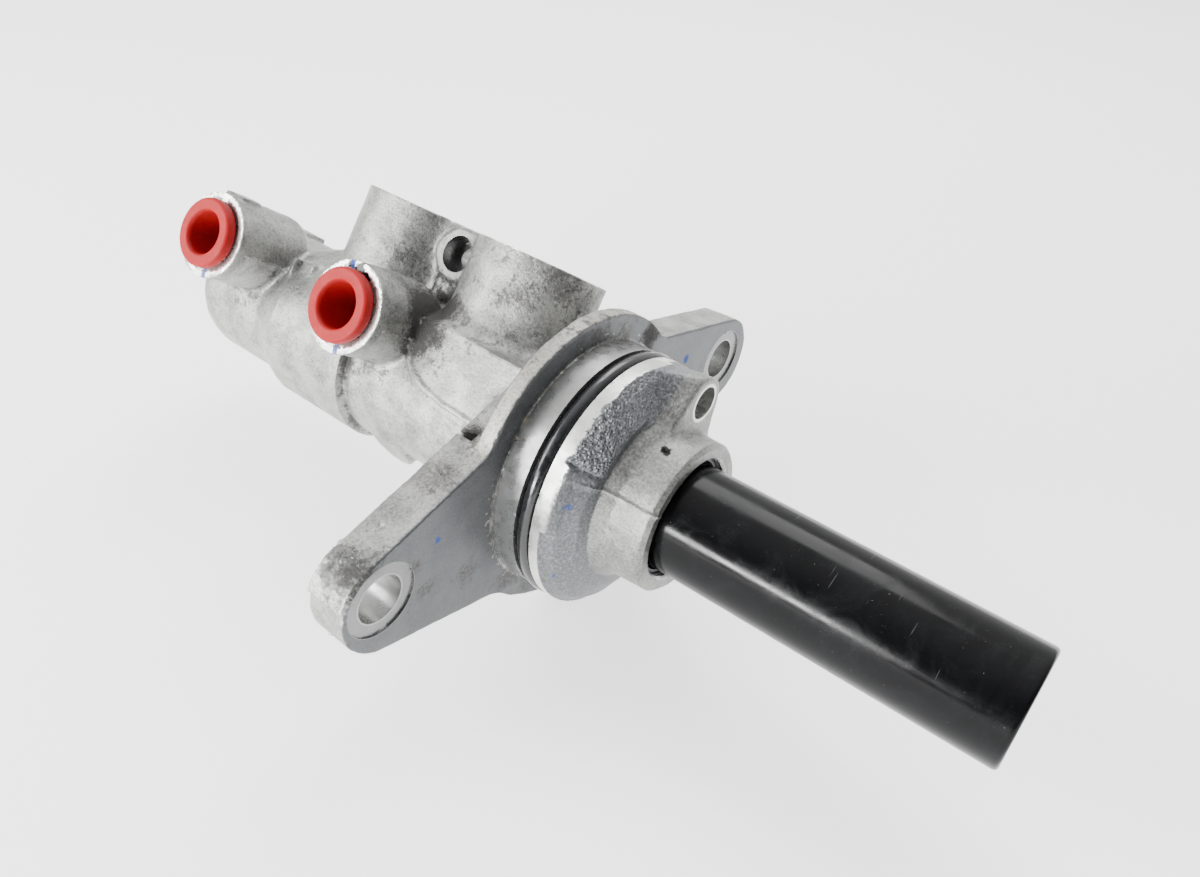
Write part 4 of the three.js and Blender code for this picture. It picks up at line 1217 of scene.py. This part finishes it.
def outlet_plug(name, node):
    """The hollow red transit plug, with a rolled flange, turned and aimed out of its outlet."""
    low, high = box_mm(node)
    x = (low[0] + high[0]) / 2
    face, seat, tip, floor = 29.4, OUTLET_FACE + 0.02, 18.4, 20.0
    outline = [
        (tip, 0), (tip, 4.45), (tip + 1.2, 5.2), (seat, 5.35), (seat, 6.95), (seat + 0.5, 7.1),
        (face - 0.35, 7.05), (face, 6.6), (face, 4.75), (face - 0.7, 4.35), (floor + 0.2, 4.0), (floor, 0),
    ]
    thing = lathe(name, rounded(outline, [0, 0.5, 0.4, 0.15, 0.15, 0.3, 0.35, 0.3, 0.35, 0.4, 0.6, 0]), 96)
    turn = Matrix.Rotation(-CLOCKING, 4, "X") @ Matrix.Rotation(-math.pi / 2, 4, "Z")
    place = Matrix.Translation((x * MM, OUTLET_RISE * MM * TURN_SIN, OUTLET_RISE * MM * TURN_COS))
    thing.data.transform(place @ turn)
    return thing


def cup(name, node, lips_forward):
    """A lip seal cup: a thick heel and two flared lips."""
    low, high = box_mm(node)
    inner, outer = PISTON_R + FIT, high[1]
    middle = (inner + outer) / 2
    heel, step = (high[0], -1) if lips_forward else (low[0], 1)
    width = high[0] - low[0]
    outline = [(heel + step * along, r) for along, r in (
        (0, inner + 0.2), (1.3, inner + 0.3), (width, inner), (width, inner + 0.5), (1.4, middle),
        (width, outer - 0.5), (width, outer), (1.3, outer - 0.2), (0, outer - 0.1))]
    return lathe(name, rounded(outline, [0.3, 0.5, 0.1, 0.2, 0.5, 0.2, 0.1, 0.5, 0.3], 5), 96, 50)


def plain_ring(name, node, inner, round_by):
    """A ring with a plain rounded section."""
    low, high = box_mm(node)
    outline = [(low[0], inner), (high[0], inner), (high[0], high[1]), (low[0], high[1])]
    return lathe(name, rounded(outline, round_by), 96)


def lip_seal():
    """The nose's dust seal, with its lip on the push piston."""
    low, high = box_mm("dust_lip_seal")
    inner, outer = ROD_R + FIT, high[1]
    outline = [(low[0], inner + 0.1), (low[0] + 1, inner + 0.3), (high[0], inner), (high[0], inner + 0.3),
               (high[0] - 1.1, inner + 0.75), (high[0] - 0.3, outer), (low[0], outer)]
    return lathe("nose_lip_seal", rounded(outline, 0.2), 128)


def snap_ring():
    """An open ring of flat wire with rounded edges and its two ends sprung apart."""
    low, high = box_mm("snap_ring")
    outer, inner, gap, steps = high[1], 10.75, 0.32, 72
    section = rounded([(low[0], inner), (high[0], inner), (high[0], outer), (low[0], outer)], 0.15, 2)
    section = np.array(section)
    turns = np.linspace(gap, 2 * math.pi - gap, steps + 1)
    verts = [(x, r * math.cos(t), r * math.sin(t)) for t in turns for x, r in section]
    thing = mesh_object("nose_snap_ring", verts, grid_quads(steps + 1, len(section), closed=False))
    close_ends(thing)
    return thing


def spigot_ring():
    """The O-ring, lying a little unevenly in its groove."""
    section, sides, steps = (RING_HIGH[0] - RING_LOW[0]) / 2, 20, 220
    middle, radius = (RING_LOW[0] + RING_HIGH[0]) / 2, RING_HIGH[1] - section
    verts = []
    for i in range(steps):
        t = 2 * math.pi * i / steps
        wave = 0.05 * math.sin(3 * t + 0.4) + 0.03 * math.sin(7 * t)
        for j in range(sides):
            a = 2 * math.pi * j / sides
            r = radius + section * math.cos(a) * (0.985 - abs(wave) * 0.3)
            verts.append((middle + wave + (section - 0.05) * math.sin(a), r * math.cos(t), r * math.sin(t)))
    return mesh_object("spigot_seal_ring", verts, grid_quads(steps, sides), 180)


def drawn_cup(name, node, tube, wall, closed):
    """A thin pressed cup: a flat rim, a tube, and for the retainer an inturned end."""
    low, high = box_mm(node)
    x0, x1, rim = low[0], high[0], high[1]
    outline = [(x0, tube - wall), (x0, rim), (x0 + wall, rim), (x0 + wall, tube), (x1, tube)]
    hole = SCREW["shank"] + 0.3
    outline += [(x1, hole), (x1 - wall, hole), (x1 - wall, tube - wall)] if closed else [(x1, tube - wall)]
    return lathe(name, rounded(outline, 0.38), 64)


def retaining_screw():
    """The long screw that ties the primary spring's cup to its piston."""
    head, shank, x0, x1 = (SCREW[k] for k in ("head", "shank", "x0", "x1"))
    outline = [(x0, 0), (x0, head), (x0 + 1.8, head), (x0 + 1.8, shank)]
    thread = [(x, shank - 0.25 * (i % 2)) for i, x in enumerate(np.arange(x1 - 7, x1 - 0.4, 0.3))]
    tip = [(x1, shank - 0.4), (x1, 0)]
    return lathe("stroke_screw", rounded(outline, [0, 0.5, 0.2, 0.2]) + thread + tip, 48)


def build_pieces():
    dress(primary_piston(), "primary_piston", "primary_piston", "black_anodised_aluminium")
    dress(secondary_piston(), "secondary_piston", "secondary_piston", "black_anodised_aluminium")
    for end in ("front", "rear"):
        dress(outlet_plug(f"{end}_plug_skin", f"{end}_outlet_plug"), f"{end}_outlet_plug", f"{end}_plug",
              "red_plug_plastic")
    for node, forward in (("primary_pressure_cup", True), ("primary_supply_cup", True),
                          ("secondary_pressure_cup", True), ("secondary_separating_cup", False)):
        dress(cup(node + "_skin", node, forward), node, "casting", "black_rubber")
    for node in ("primary_backup_ring", "secondary_backup_ring"):
        dress(plain_ring(node + "_skin", node, PISTON_R + FIT, 0.12), node, "casting", "white_plastic")
    dress(spigot_ring(), "spigot_o_ring", "casting", "black_rubber")
    dress(plain_ring("guide_bush_skin", "guide_bush", ROD_R + FIT, 0.3), "guide_bush", "casting",
          "black_guide_plastic")
    dress(lip_seal(), "dust_lip_seal", "casting", "black_rubber")
    dress(snap_ring(), "snap_ring", "casting", "black_spring_steel")
    dress(drawn_cup("bore_end_seat", "secondary_spring_seat", 4.0, 0.9, False), "secondary_spring_seat",
          "casting", "zinc_plated_steel")
    dress(drawn_cup("drawn_retainer", "spring_retainer_cup", 4.3, 0.8, True), "spring_retainer_cup",
          "secondary_piston", "zinc_plated_steel")
    dress(plain_ring("seat_washer_skin", "spring_seat_washer", 2.2, 0.2), "spring_seat_washer",
          "primary_piston", "zinc_plated_steel")
    dress(retaining_screw(), "spring_retaining_screw", "primary_piston", "zinc_plated_steel")


def build_springs():
    """Both springs, each anchored at its front end by riding with the body there."""
    for node, name, body, joint, wire, turns in (
        ("primary_return_spring", "primary_spring_wire", "secondary_piston", "primary_slide", 1.05, 9),
        ("secondary_return_spring", "secondary_spring_wire", "casting", "secondary_slide", 0.95, 8),
    ):
        low, high = box_mm(node)
        thing = coil(name, low[0], high[0], SPRING_R, wire, turns)
        dress(thing, node, body, "spring_steel")
        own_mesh(thing)


build_pieces()
build_springs()


# ---------------- camera, light and floor

LENS = 29.505
CAMERA_PLACE, CAMERA_TURN = (0.08559, -0.11639, 0.11421), (52.856, -4.383, 38.355)
LIGHTS = (
    # name, place, what it aims at, size and power
    ("overhead", (-0.12, 0.35, 0.55), (-0.02, 0, 0), (0.35, 0.35), 3),
    ("window", (-0.13, -0.75, 0.12), (0.03, 0, 0.01), (0.34, 0.07), 11),
    ("left", (-0.5, -0.5, 0.35), (-0.02, 0, 0.01), (0.45, 0.35), 7),
)
BRIGHT_SIDE = (-0.45, 0.6, 0.66)
ROOM_DIM, ROOM_BRIGHT = 0.12, 1.7
FLOOR_GLOW = 1.3


def camera():
    """Stands where the photograph was taken from."""
    data = bpy.data.cameras.new("camera")
    data.lens = LENS
    data.sensor_width = 36
    data.clip_start = 0.01
    data.clip_end = 20
    thing = put("camera", data)
    thing.location = CAMERA_PLACE
    thing.rotation_euler = Euler([math.radians(a) for a in CAMERA_TURN])
    bpy.context.scene.camera = thing


def area_light(name, place, aim, size, power):
    """A soft rectangular light."""
    data = bpy.data.lights.new(name, "AREA")
    data.shape = "RECTANGLE"
    data.size, data.size_y = size
    data.energy = power
    thing = put(name, data)
    thing.location = place
    thing.rotation_euler = (Vector(place) - Vector(aim)).to_track_quat("Z", "Y").to_euler()


def soft_room():
    """A white room that is brighter overhead and behind the object than in front of it."""
    world = bpy.data.worlds.new("room")
    bpy.context.scene.world = world
    world.use_nodes = True
    nodes, links = world.node_tree.nodes, world.node_tree.links
    way = nodes.new("ShaderNodeTexCoord").outputs["Generated"]
    lean = nodes.new("ShaderNodeVectorMath")
    lean.operation = "DOT_PRODUCT"
    lean.inputs[1].default_value = BRIGHT_SIDE
    links.new(way, lean.inputs[0])
    fade = nodes.new("ShaderNodeMapRange")
    fade.interpolation_type = "SMOOTHSTEP"
    for socket, value in zip(fade.inputs[1:5], (-0.2, 0.9, ROOM_DIM, ROOM_BRIGHT)):
        socket.default_value = value
    links.new(lean.outputs["Value"], fade.inputs["Value"])
    background = nodes["Background"]
    background.inputs["Color"].default_value = (1, 1, 1, 1)
    links.new(fade.outputs["Result"], background.inputs["Strength"])


def white_floor():
    """A sheet of white paper that is lit a little from below, so that it stays pale."""
    half, z = 2.0, CAD_BOUNDS[0][2]
    mesh = bpy.data.meshes.new("floor")
    corners = [(-half, -half, z), (half, -half, z), (half, half, z), (-half, half, z)]
    mesh.from_pydata(corners, [], [(0, 1, 2, 3)])
    paper = bpy.data.materials.new("paper")
    paper.use_nodes = True
    shader = paper.node_tree.nodes["Principled BSDF"]
    shader.inputs["Base Color"].default_value = (0.9, 0.9, 0.9, 1)
    shader.inputs["Roughness"].default_value = 0.9
    shader.inputs["Emission Color"].default_value = (1, 1, 1, 1)
    shader.inputs["Emission Strength"].default_value = FLOOR_GLOW
    mesh.materials.append(paper)
    put("floor", mesh)


camera()
for light in LIGHTS:
    area_light(*light)
soft_room()
white_floor()
